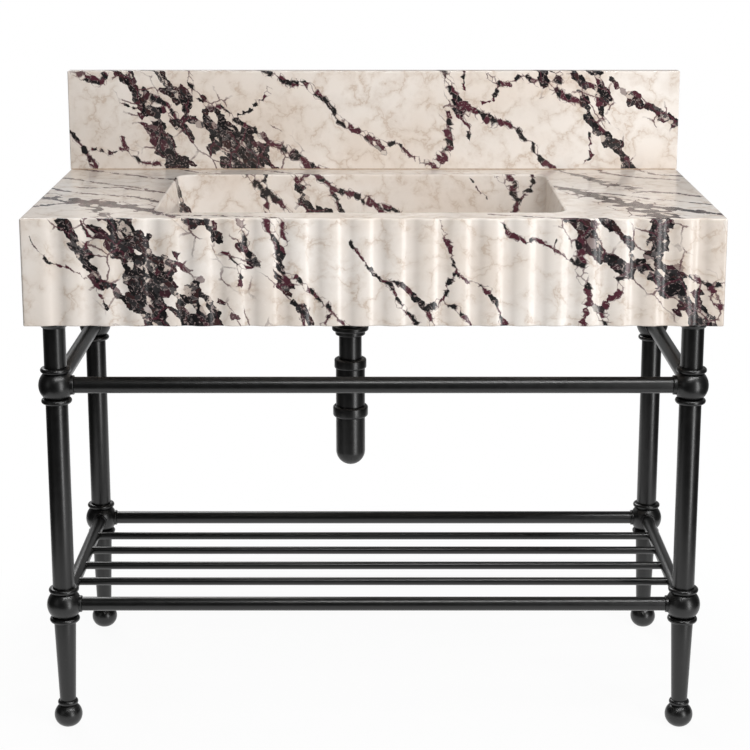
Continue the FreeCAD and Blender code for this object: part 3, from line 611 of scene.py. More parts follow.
DECK_VEINS = veins(
    Kind.BAND,
    (16, 24, (-600, -20), (-560, -70), (-500, -110), (-435, -140), (-363, -200)),
    (12, 10, (-500, -110), (-460, -200), (-423, -300)),
    (12, 32, (320, 50), (365, 3), (397, -78), (434, -130), (459, -181), (478, -300)),
    (10, 14, (344, 285), (388, 177), (415, 109), (444, 51), (485, -12)),
    (16, 10, (459, -150), (507, -192), (590, -250)),
) + veins(
    Kind.THREAD,
    (7, 6, (-590, -165), (-487, -111), (-407, -171), (-359, -215), (-300, -300)),
    (6, 5, (-590, 165), (-504, 97), (-440, 50), (-367, -23)),
    (5, 4, (-527, 43), (-459, 43), (-393, -8)),
    (8, 7, (-590, 285), (-525, 239), (-474, 197), (-412, 153), (-360, 140)),
    (6, 6, (-600, 60), (-560, 10), (-490, -30), (-420, -60), (-360, -120)),
    (5, 4, (-367, 262), (-330, 225), (-290, 205)),
    (5, 4, (-235, 262), (-180, 225), (-120, 200)),
    (5, 4, (-355, -235), (-290, -250), (-193, -263), (-120, -290)),
    (5, 4, (190, -235), (250, -255), (330, -285)),
    (9, 6, (485, -12), (533, -25), (590, -85)),
    (6, 5, (421, 268), (437, 214), (490, 160), (560, 130)),
    (5, 5, (365, 3), (430, -40), (490, -90), (590, -150)),
    (6, 5, (497, 262), (530, 200), (590, 170)),
)
LEFT_VEINS = veins(
    Kind.BAND,
    (16, 26, (-250, 880), (-150, 830), (-60, 790), (30, 728)),
    (12, 8, (60, 900), (150, 830), (190, 770), (265, 740)),
) + veins(
    Kind.THREAD,
    (6, 5, (-250, 780), (-190, 760), (-140, 728)),
    (5, 4, (-60, 790), (10, 800), (90, 860)),
)
RIGHT_VEINS = veins(
    Kind.BAND,
    (20, 12, (-250, 840), (-150, 800), (-90, 728)),
    (12, 16, (-40, 900), (60, 850), (130, 790), (180, 728)),
) + veins(
    Kind.THREAD,
    (5, 4, (160, 900), (210, 860), (265, 800)),
    (5, 4, (-150, 800), (-60, 810), (60, 850)),
)


# Finishes


@dataclass
class Stone:
    """Colours and sizes that all the slabs share, and the node groups that use them.

    Attributes:
        cream: Ground of the stone.
        pale: Lighter clouds in it.
        beige: Shade around the bands and between the clouds.
        tan: Hairlines.
        wine: Threads, and the fragments along a band's edge.
        jet: Dark threads.
        seam: Thin lines between fragments, and the pale flecks that are partly painted glints.
        shades: Colours of the dark fragments, each with the number from which it is used.
        lie: Direction in which the stone is drawn out, in degrees.
        fragments: Fragments in a metre along and across that direction.
        pebbles: Pebbles in a metre along and across that direction.
        web: Cells between the hairlines in a metre.
        sway: How far the hairlines sway, in such cells.
        waves: Noise and reach of each wave that bends the veins.
        chip: How far a thread keeps to the edges of fragments.
    """

    cream: Triple = (0.765, 0.682, 0.606)
    pale: Triple = (0.86, 0.81, 0.76)
    beige: Triple = (0.60, 0.51, 0.43)
    tan: Triple = (0.47, 0.32, 0.215)
    wine: Triple = (0.082, 0.025, 0.036)
    jet: Triple = (0.018, 0.017, 0.0175)
    seam: Triple = (0.36, 0.28, 0.265)
    shades: tuple[tuple[float, Triple], ...] = (
        (0.0, (0.012, 0.011, 0.0115)), (0.36, (0.032, 0.030, 0.031)), (0.55, (0.046, 0.022, 0.022)),
        (0.68, jet), (0.80, (0.080, 0.072, 0.072)), (0.94, (0.56, 0.48, 0.42)))
    lie: float = -50.0
    fragments: Point = (75.0, 125.0)
    pebbles: Point = (20.0, 33.0)
    web: float = 19.0
    sway: float = 2.2
    waves: tuple[tuple[Triple, float], ...] = (
        ((9.0, 3.0, 0.6), 0.030), ((40.0, 3.0, 0.6), 0.012), ((170.0, 3.0, 0.6), 0.005))
    chip: float = 0.45

    def __post_init__(self) -> None:
        """Build the groups: nearness to a vein's run, broken stone and the stone's colour."""
        self.run = self.run_tree()
        self.broken = self.break_tree()
        self.body = self.body_tree()

    def axes(self, density: Point) -> tuple[Vector, Vector]:
        """Directions along and across the stone's lie, as long as the cells are dense.

        Args:
            density: Cells in a metre along and across.

        Returns:
            The two directions.
        """
        turn = math.radians(self.lie)
        along = Vector((math.cos(turn), math.sin(turn), 0))
        across = Vector((-math.sin(turn), math.cos(turn), 0))
        return along * density[0], across * density[1]

    def stretched(self, wiring: Wiring, point: Socket, density: Point) -> Socket:
        """Carry a point on a slab's plane to the plane of cells with a density along and across."""
        return wiring.plane(*(wiring.vector("DOT_PRODUCT", point, axis) for axis in self.axes(density)))

    def run_tree(self) -> Tree:
        """Build the group that measures how near a point is to one run of a vein.

        The nearness travels in the point's third number, so that the runs are worked out one by one.

        Returns:
            Tree whose nearness is 1 on the line, 0 at its edge, and at least the one given to it.
        """
        wiring, given, result = new_tree(
            "vein run", "ShaderNodeTree",
            {"Point": VECTOR, "Start": VECTOR, "Run": VECTOR, "Start Width": NUMBER, "End Width": NUMBER},
            {"Point": VECTOR})
        point, run = given["Point"], given["Run"]
        away = wiring.vector("SUBTRACT", wiring.vector("MULTIPLY", point, (1, 1, 0)), given["Start"])
        share = wiring.ramp(wiring.vector("DOT_PRODUCT", away, run), 0.0,
                            wiring.vector("DOT_PRODUCT", run, run), smooth=False)
        off_line = wiring.vector("SUBTRACT", away, wiring.vector("SCALE", run, share))
        change = wiring.math("SUBTRACT", given["End Width"], given["Start Width"])
        width = wiring.math("MULTIPLY_ADD", share, change, given["Start Width"])
        distance = wiring.math("DIVIDE", wiring.vector("LENGTH", off_line), width)
        found = wiring.plane(FAR, FAR, wiring.math("SUBTRACT", 1.0, distance))
        wiring.feed(result["Point"], wiring.vector("MAXIMUM", point, found))
        return wiring.tree

    def break_tree(self) -> Tree:
        """Build the group that bends a slab's plane and breaks it into fragments.

        Returns:
            Tree that gives the bent Point, the middle of its Fragment, a Chip between the two, the
            fragment's Shade and the distance to its Edge.
        """
        wiring, given, result = new_tree(
            "broken stone", "ShaderNodeTree", {"Point": VECTOR},
            {"Point": VECTOR, "Fragment": VECTOR, "Chip": VECTOR, "Shade": NUMBER, "Edge": NUMBER})
        point = given["Point"]
        for look, reach in self.waves:
            wave = wiring.vector("SUBTRACT", wiring.noise(given["Point"], look, "Color"), (0.5, 0.5, 0.5))
            point = wiring.vector("ADD", point, wiring.vector("SCALE", wave, reach))
        place = self.stretched(wiring, point, self.fragments)
        found = wiring.cells(place, "F1").outputs
        along, across = (axis / axis.length_squared for axis in self.axes(self.fragments))
        fragment = wiring.plane(*(wiring.vector("DOT_PRODUCT", found["Position"], (back, side, 0))
                                  for back, side in zip(along.xy, across.xy)))
        chip = wiring.vector("ADD", wiring.vector("SCALE", fragment, self.chip),
                             wiring.vector("SCALE", point, 1 - self.chip))
        tints = wiring.node("ShaderNodeSeparateColor", {0: found["Color"]}).outputs
        for name, value in (("Point", point), ("Fragment", fragment), ("Chip", chip),
                            ("Shade", tints[0]), ("Edge", wiring.edges(place))):
            wiring.feed(result[name], value)
        return wiring.tree

    def ground(self, wiring: Wiring, point: Socket, band: Socket) -> Socket:
        """Colour the pale ground: clouds, a shade around them and the bands, and a web of hairlines.

        Args:
            wiring: Wiring of the tree.
            point: Point on the slab's plane.
            band: Nearness to the bands.

        Returns:
            Socket with the colour.
        """
        clouds = wiring.fade(wiring.noise(point, Noise.CLOUDS.value), Fade.CLOUDS)
        mist = wiring.noise(point, Noise.MIST.value)
        colour = wiring.blend(clouds, self.cream, self.pale)
        halo = wiring.math("MULTIPLY", wiring.fade(band, Fade.HALO), wiring.fade(mist, Fade.HALO_MIST))
        stain = wiring.fade(wiring.noise(point, Noise.STAINS.value), Fade.STAINS)
        colour = wiring.blend(wiring.math("MAXIMUM", halo, stain), colour, self.beige)
        sway = wiring.vector("SCALE", wiring.noise(point, Noise.SWAY.value, "Color"), self.sway)
        web = wiring.edges(wiring.vector("ADD", wiring.vector("SCALE", point, self.web), sway))
        for line, places, tint in ((Fade.CLOUD_EDGE, Fade.CLOUD_EDGE_MIST, self.beige),
                                   (Fade.HAIRLINE, Fade.HAIRLINE_MIST, self.tan)):
            share = wiring.math("MULTIPLY", wiring.fade(web, line), wiring.fade(mist, places))
            colour = wiring.blend(share, colour, tint)
        return colour

    def crush(self, wiring: Wiring, given: Sockets, grains: Socket) -> tuple[Socket, Socket]:
        """Colour the dark fragments of the bands.

        Args:
            wiring: Wiring of the tree.
            given: The tree's inputs.
            grains: Fine noise.

        Returns:
            Sockets with the share that is dark and its colour.
        """
        fragment, band = given["Fragment"], given["Band"]
        rim = wiring.edges(self.stretched(wiring, fragment, self.pebbles))
        patches = wiring.fade(wiring.noise(fragment, Noise.PATCHES.value), Fade.BAND_PATCHES)
        depth = wiring.math("MULTIPLY", wiring.fade(band, Fade.BAND_DEPTH), patches)
        dark = wiring.math("SUBTRACT", depth, rim)
        share = wiring.math("MULTIPLY", wiring.fade(dark, Fade.BAND_EDGE), wiring.fade(band, Fade.BAND_END))
        mottle = wiring.ramp(grains, *Fade.MOTTLE.value, smooth=False)
        colour = wiring.palette(wiring.math("ADD", given["Shade"], mottle), self.shades)
        return share, wiring.blend(wiring.fade(dark, Fade.BAND_RIM), colour, self.wine)

    def seams_and_glints(self, wiring: Wiring, given: Sockets, grains: Socket) -> Socket:
        """Find the pale seams of the dark stone and its pale flecks, which are partly painted glints.

        Args:
            wiring: Wiring of the tree.
            given: The tree's inputs.
            grains: Fine noise.

        Returns:
            Socket with the share that is pale: real seams, and flecks that are partly painted glints.
        """
        seam = wiring.math("MULTIPLY", wiring.fade(given["Edge"], Fade.SEAM),
                           wiring.fade(grains, Fade.SEAM_GRAINS))
        # Pale flecks: partly real flecks, partly painted glints that stand for the polished stone's sparkle.
        flecks_and_glints = wiring.noise(given["Point"], Noise.FLECKS_AND_GLINTS.value)
        return wiring.math("MAXIMUM", seam, wiring.fade(flecks_and_glints, Fade.FLECKS_AND_GLINTS))

    def body_tree(self) -> Tree:
        """Build the group that colours the stone.

        Returns:
            Tree that gives Color and a fine Grain from the broken stone and the nearness of its veins.
        """
        wiring, given, result = new_tree(
            "marble body", "ShaderNodeTree",
            {"Point": VECTOR, "Fragment": VECTOR, "Shade": NUMBER, "Edge": NUMBER, "Band": NUMBER,
             "Thread": NUMBER}, {"Color": "NodeSocketColor", "Grain": NUMBER})
        point, band, near = given["Point"], given["Band"], given["Thread"]
        grains = wiring.noise(point, Noise.GRAINS.value)
        share, dark = self.crush(wiring, given, grains)
        colour = wiring.blend(share, self.ground(wiring, point, band), dark)
        rim = wiring.edges(self.stretched(wiring, point, self.pebbles))
        places = wiring.fade(wiring.noise(point, Noise.NET.value), Fade.NET_PLACES)
        net = wiring.math("MULTIPLY", wiring.fade(rim, Fade.NET),
                          wiring.math("MULTIPLY", wiring.fade(band, Fade.NET_BAND), places))
        colour = wiring.blend(net, colour, self.wine)
        breaks = wiring.noise(given["Fragment"], Noise.BREAKS.value)
        whole = wiring.math("MULTIPLY", wiring.fade(breaks, Fade.THREAD_BREAKS),
                            wiring.fade(given["Shade"], Fade.THREAD_GAPS))
        thread = wiring.math("MULTIPLY", wiring.fade(near, Fade.THREAD), whole)
        lace = wiring.math("MULTIPLY", wiring.fade(given["Edge"], Fade.LACE),
                           wiring.fade(near, Fade.LACE_REACH))
        colour = wiring.blend(lace, colour, self.wine)
        line = wiring.blend(wiring.fade(given["Shade"], Fade.THREAD_SHADE), self.wine, self.jet)
        colour = wiring.blend(thread, colour, line)
        # Pale seams and flecks over the dark stone and threads; the flecks are partly painted glints.
        light = wiring.math("MULTIPLY", self.seams_and_glints(wiring, given, grains),
                            wiring.math("MAXIMUM", share, thread))
        wiring.feed(result["Color"], wiring.blend(light, colour, self.seam))
        wiring.feed(result["Grain"], grains)
        return wiring.tree


@dataclass(frozen=True)
class Marble:
    """Polished marble with veins drawn for one slab.

    Attributes:
        name: Name of the material.
        grain: Plane on which its veins are drawn.
        veins: Its veins.
        gloss: Roughness at its lowest and highest.
        shine: Strength of the mirror-like part.
    """

    name: str
    grain: Grain
    veins: tuple[Vein, ...]
    gloss: Point = (0.10, 0.17)
    shine: float = 0.5

    def material(self, stone: Stone) -> Material:
        """Make the material.

        Args:
            stone: What all slabs share.

        Returns:
            The new material.
        """
        made, wiring, shader, place = new_material(self.name)
        counted = wiring.vector("SUBTRACT", place, self.grain.origin)
        flat = wiring.plane(wiring.vector("DOT_PRODUCT", counted, self.grain.across),
                            wiring.vector("DOT_PRODUCT", counted, self.grain.up))
        broken = wiring.group(stone.broken, Point=flat)
        body = wiring.group(stone.body, Point=broken["Point"], Fragment=broken["Fragment"],
                            Shade=broken["Shade"], Edge=broken["Edge"],
                            Band=self.nearness(wiring, stone.run, broken["Fragment"], Kind.BAND),
                            Thread=self.nearness(wiring, stone.run, broken["Chip"], Kind.THREAD))
        gloss = wiring.ramp(body["Grain"], *GLOSS_FADE, *self.gloss, smooth=False)
        for name, value in (("Base Color", body["Color"]), ("Roughness", gloss),
                            ("Specular IOR Level", self.shine)):
            wiring.feed(shader.inputs[name], value)
        return made

    def nearness(self, wiring: Wiring, tree: Tree, point: Socket, kind: Kind) -> Socket:
        """Measure how near a point is to the veins of one kind.

        Args:
            wiring: Wiring of the material.
            tree: Group that measures a run.
            point: Point on the slab's plane.
            kind: Which veins count.

        Returns:
            Socket with the nearness.
        """
        carried = wiring.vector("ADD", point, (0, 0, FAR))
        for vein in (vein for vein in self.veins if vein.kind is kind):
            growth = (vein.widths[1] - vein.widths[0]) / (len(vein.points) - 1)
            for step, (first, last) in enumerate(zip(vein.points, vein.points[1:])):
                start, end = (Vector((*spot, 0)) * MILLIMETRE for spot in (first, last))
                width = vein.widths[0] + growth * step
                carried = wiring.group(tree, Point=carried, Start=start, Run=end - start,
                                       Start_Width=width * MILLIMETRE,
                                       End_Width=(width + growth) * MILLIMETRE)["Point"]
        return wiring.parts(carried)["Z"]


@dataclass(frozen=True)
class Coating:
    """A finish of one colour with fine unevenness.

    Attributes:
        name: Name of the material.
        dark: Colour in the low spots.
        light: Colour in the high spots.
        gloss: Roughness at its lowest and highest.
        grain: Clouds of unevenness per metre.
        bump: Strength of the fine relief.
        metallic: Whether it is bare metal.
        shine: Strength of the mirror-like part.
        layers: Finer layers of the clouds and their strength.
        fade: Where the clouds turn from dark to light.
        finer: How many times finer than the clouds the relief is.
        relief: Height of the relief.
        relief_layers: Finer layers of the relief and their strength.
    """

    name: str
    dark: Triple
    light: Triple
    gloss: Point
    grain: float = 60.0
    bump: float = 0.04
    metallic: bool = False
    shine: float = 0.5
    layers: Point = (4.0, 0.6)
    fade: Point = (0.35, 0.65)
    finer: float = 14.0
    relief: float = 0.0004
    relief_layers: Point = (2.0, 0.5)

    def material(self) -> Material:
        """Make the material.

        Returns:
            The new material.
        """
        made, wiring, shader, place = new_material(self.name)
        clouds = wiring.noise(place, (self.grain, *self.layers))
        fine = wiring.noise(place, (self.grain * self.finer, *self.relief_layers))
        relief = wiring.node("ShaderNodeBump", {"Strength": self.bump, "Distance": self.relief,
                                                "Height": fine})
        colour = wiring.blend(wiring.ramp(clouds, *self.fade), self.dark, self.light)
        gloss = wiring.ramp(clouds, *GLOSS_FADE, *self.gloss, smooth=False)
        for name, value in (("Base Color", colour), ("Roughness", gloss), ("Metallic", float(self.metallic)),
                            ("Specular IOR Level", self.shine), ("Normal", relief.outputs["Normal"])):
            wiring.feed(shader.inputs[name], value)
        return made


class Finishes:
    """All materials of the sink, made once."""

    def __init__(self) -> None:
        """Make every material."""
        stone = Stone()
        self.apron = Marble("apron_marble", APRON_GRAIN, APRON_VEINS, gloss=(0.20, 0.28),
                            shine=0.4).material(stone)
        self.backsplash = Marble("backsplash_marble", BACKSPLASH_GRAIN, BACKSPLASH_VEINS).material(stone)
        self.basin = Marble("basin_marble", BASIN_GRAIN, BASIN_VEINS).material(stone)
        self.deck = Marble("deck_marble", DECK_GRAIN, DECK_VEINS, gloss=(0.16, 0.24),
                           shine=0.3).material(stone)
        self.left = Marble("left_marble", SIDE_GRAIN, LEFT_VEINS).material(stone)
        self.right = Marble("right_marble", SIDE_GRAIN, RIGHT_VEINS).material(stone)
        self.black = Coating("satin_black", (0.0030, 0.0030, 0.0030), (0.0045, 0.0045, 0.0045),
                             (0.30, 0.35), bump=0.004, shine=0.6).material()
        self.rubber = Coating("seal_rubber", (0.018, 0.018, 0.018), (0.032, 0.031, 0.030),
                              (0.7, 0.85), grain=120.0, bump=0.15).material()
        self.steel = Coating("zinc_steel", (0.42, 0.42, 0.43), (0.55, 0.55, 0.56), (0.28, 0.42),
                             grain=200.0, bump=0.08, metallic=True).material()
        self.grout = Coating("joint_filler", (0.34, 0.23, 0.15), (0.46, 0.34, 0.24), (0.5, 0.7),
                             grain=150.0, bump=0.2).material()


# Outlines


def arc(centre: Point, radius: float, start: float, end: float, steps: int) -> Outline:
    """Points along an arc.

    Args:
        centre: Middle of its circle.
        radius: Radius of its circle.
        start: First angle in degrees.
        end: Last angle in degrees.
        steps: Number of straight pieces.

    Returns:
        The points, both ends included.
    """
    turns = [math.radians(start + (end - start) * step / steps) for step in range(steps + 1)]
    return [(centre[0] + radius * math.cos(turn), centre[1] + radius * math.sin(turn)) for turn in turns]


def circle(centre: Point, radius: float, steps: int) -> Outline:
    """Points around a whole circle."""
    return arc(centre, radius, 0, 360, steps)[:-1]


def bow(first: Point, last: Point, swell: float, steps: int) -> Outline:
    """Points along an arc that bulges to the right of the way from one point to another.

    Args:
        first: Where it starts.
        last: Where it ends.
        swell: How far it stands off the straight line.
        steps: Number of straight pieces.

    Returns:
        The points, both ends included.
    """
    start = Vector(first)
    along = Vector(last) - start
    half = along.length / 2
    along.normalize()
    outward = Vector((along.y, -along.x))
    radius = (half * half + swell * swell) / (2 * swell)
    centre = start + along * half - outward * (radius - swell)
    opening = math.atan2(half, radius - swell)
    turns = [opening * (2 * step / steps - 1) for step in range(steps + 1)]
    return [tuple(centre + radius * (outward * math.cos(turn) + along * math.sin(turn))) for turn in turns]


def soften(corners: Sequence[tuple], steps: int = 5) -> Outline:
    """Round the corners of a closed outline.

    Args:
        corners: Points, each with its rounding as a third number if it has one.
        steps: Straight pieces in each rounding.

    Returns:
        The rounded outline.
    """
    points: Outline = []
    for number, (x, y, *rounding) in enumerate(corners):
        if not any(rounding):
            points.append((x, y))
            continue
        here = Vector((x, y))
        back = (Vector(corners[number - 1][:2]) - here).normalized()
        ahead = (Vector(corners[(number + 1) % len(corners)][:2]) - here).normalized()
        half = back.angle(ahead) / 2
        middle = here + (back + ahead).normalized() * (rounding[0] / math.sin(half))
        first, last = (here + way * (rounding[0] / math.tan(half)) - middle for way in (back, ahead))
        turn = first.angle(last)
        for step in range(steps + 1):
            share = step / steps
            spoke = (first * math.sin((1 - share) * turn) + last * math.sin(share * turn)) / math.sin(turn)
            points.append(tuple(middle + spoke))
    return points


def rounded_rectangle(low: Point, high: Point, radius: float, grow: float = 0.0, steps: int = 10) -> Outline:
    """Outline of a rectangle with round corners.

    Args:
        low: Its lowest corner.
        high: Its highest corner.
        radius: Radius of its corners.
        grow: How far every side is moved out.
        steps: Straight pieces in each corner.

    Returns:
        The outline, anticlockwise from the right end of the low side.
    """
    left, right, front, back = low[0] + radius, high[0] - radius, low[1] + radius, high[1] - radius
    points: Outline = []
    for quarter, centre in enumerate(((right, front), (right, back), (left, back), (left, front))):
        points += arc(centre, radius + grow, 90 * quarter - 90, 90 * quarter, steps)
    return points


def bar(radius: float, start: float, end: float, rounding: float) -> Outline:
    """Outline of a round bar with rounded ends."""
    return soften([(0, start), (radius, start, rounding), (radius, end, rounding), (0, end)])


def nut(radius: float, hole: float, thread: float, ends: Point, lip: float,
        roundings: Sequence[float]) -> Outline:
    """Outline of a nut with a lip at one end.

    Args:
        radius: Its radius.
        hole: Radius inside the lip.
        thread: Radius of its thread.
        ends: Height of the end with the lip, and of the other end.
        lip: Height of the lip.
        roundings: Roundings of the hole's edge, the rim at each end and the thread's edge.

    Returns:
        The outline of radius and height.
    """
    shelf = ends[0] + math.copysign(lip, ends[1] - ends[0])
    corners = ((hole, ends[0]), (radius, ends[0]), (radius, ends[1]), (thread, ends[1]))
    rounded = [(*corner, rounding) for corner, rounding in zip(corners, roundings)]
    return soften([*rounded, (thread, shelf), (hole, shelf)])


# Mesh work


def at(x: float, y: float, z: float = 0.0) -> Matrix:
    """Place that is only moved."""
    return Matrix.Translation((x, y, z))


def loop_at(bm: Draft, outline: Outline, height: float) -> Loop:
    """Lay an outline in X and Y down as a loop of points."""
    return [bm.verts.new((x, y, height)) for x, y in outline]


def skin(bm: Draft, loops: Sequence[Loop]) -> list[bmesh.types.BMFace]:
    """Close the bands between loops in a row.

    Args:
        bm: Mesh that is built.
        loops: Loops of one length, or single points.

    Returns:
        The new faces.
    """
    faces = []
    for first, second in zip(loops, loops[1:]):
        count = max(len(first), len(second))
        for number in range(count if count > 1 else 0):
            after = number + 1
            corners = [first[number % len(first)], first[after % len(first)],
                       second[after % len(second)], second[number % len(second)]]
            faces.append(bm.faces.new(list(dict.fromkeys(corners))))
    return faces


def fill(bm: Draft, *loops: Loop) -> None:
    """Fill a flat face inside one loop, or between an outer loop and its holes.

    Args:
        bm: Mesh that is built.
        loops: Loops that bound the face.
    """
    edges = []
    for loop in loops:
        for first, second in zip(loop, loop[1:] + loop[:1]):
            edges.append(bm.edges.get((first, second)) or bm.edges.new((first, second)))
    bmesh.ops.triangle_fill(bm, use_beauty=True, use_dissolve=False, edges=edges)


def to_mesh(bm: Draft, name: str) -> Mesh:
    """Close a mesh that was built, with its faces outwards.

    Args:
        bm: Mesh that was built.
        name: Its name.

    Returns:
        The mesh.
    """
    bmesh.ops.recalc_face_normals(bm, faces=bm.faces)
    mesh = bpy.data.meshes.new(name)
    bm.to_mesh(mesh)
    bm.free()
    return mesh


def closed(bm: Draft, loops: Sequence[Loop], name: str) -> Mesh:
    """Close a body between loops in a row.

    Args:
        bm: Mesh that is built.
        loops: Loops of one length, the first and last of which are filled.
        name: Name of the mesh.

    Returns:
        The mesh.
    """
    skin(bm, loops)
    fill(bm, loops[0])
    fill(bm, loops[-1])
    return to_mesh(bm, name)


def turned(name: str, outline: Outline, place: Matrix, segments: int = 64) -> Mesh:
    """Make a turned body.

    Args:
        name: Name of the mesh.
        outline: Closed outline of radius and height; points on the axis have no radius.
        place: Where its axis goes.
        segments: Faces around the axis.

    Returns:
        The mesh.
    """
    bm = bmesh.new()
    rings: list[Loop] = []
    for radius, height in outline:
        spokes = circle((0, 0), radius, segments) if radius > ON_AXIS else [(0, 0)]
        rings.append([bm.verts.new(place @ Vector((x, y, height))) for x, y in spokes])
    skin(bm, rings + rings[:1])
    return to_mesh(bm, name)


def placed(name: str, data: bpy.types.ID) -> bpy.types.Object:
    """Put a new object in the scene.

    Args:
        name: Name of the object.
        data: Its mesh, lamp or camera.

    Returns:
        The object.
    """
    made = bpy.data.objects.new(name, data)
    bpy.context.scene.collection.objects.link(made)
    return made


def evaluated(holder: bpy.types.Object) -> Mesh:
    """Take the plain mesh of an object with modifiers and drop the object.

    Args:
        holder: Object with its modifiers set.

    Returns:
        The plain mesh.
    """
    graph = bpy.context.evaluated_depsgraph_get()
    made = bpy.data.meshes.new_from_object(holder.evaluated_get(graph), preserve_all_data_layers=True,
                                           depsgraph=graph)
    for modifier in list(holder.modifiers):
        holder.modifiers.remove(modifier)
    bpy.data.objects.remove(holder)
    return made


def united(base: Mesh, other: Mesh) -> Mesh:
    """Join two closed meshes to one skin.

    Args:
        base: First mesh.
        other: Second mesh.

    Returns:
        The joined mesh.
    """
    holder = placed("holder", base)
    tool = placed("tool", other)
    modifier = holder.modifiers.new("union", "BOOLEAN")
    modifier.operation = "UNION"
    modifier.solver = "EXACT"
    modifier.object = tool
    made = evaluated(holder)
    bpy.data.objects.remove(tool)
    return made


def grown(mesh: Mesh, tree: Tree, values: dict[str, object]) -> Mesh:
    """Run a geometry tree over a mesh.

    Args:
        mesh: What the tree is given.
        tree: The tree.
        values: Its named inputs.

    Returns:
        The plain mesh that comes out.
    """
    holder = placed("holder", mesh)
    modifier = holder.modifiers.new("tree", "NODES")
    modifier.node_group = tree
    for item in tree.interface.items_tree:
        if item.in_out == "INPUT" and item.name in values:
            modifier[item.identifier] = values[item.name]
    return evaluated(holder)


def paint(mesh: Mesh, material: Material) -> None:
    """Give a mesh one finish, in place of any that it has."""
    mesh.materials.clear()
    mesh.materials.append(material)


def show(name: str, mesh: Mesh, nodes: Sequence[str], body: str = CONSOLE) -> None:
    """Put a finished piece in the scene, in the place of CAD nodes.

    Args:
        name: Name of the piece.
        mesh: Its mesh, in place and with its finish.
        nodes: CAD nodes that it stands for.
        body: Body that it moves with.
    """
    mesh.shade_smooth()
    mesh.set_sharp_from_angle(angle=math.radians(CREASE))
    piece = placed(name, mesh)
    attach(piece, body)
    if nodes:
        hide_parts(*nodes)
    log.info("%s: %d faces, moves with %s", name, len(mesh.polygons), body)


def dress(node: str, material: Material) -> None:
    """Give a CAD node that stays in sight its finish.

    Args:
        node: Name of the node.
        material: Its finish.
    """
    paint(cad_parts[node].data, material)
    log.info("%s: kept from the frame, finish %s", node, material.name)


# Marble block


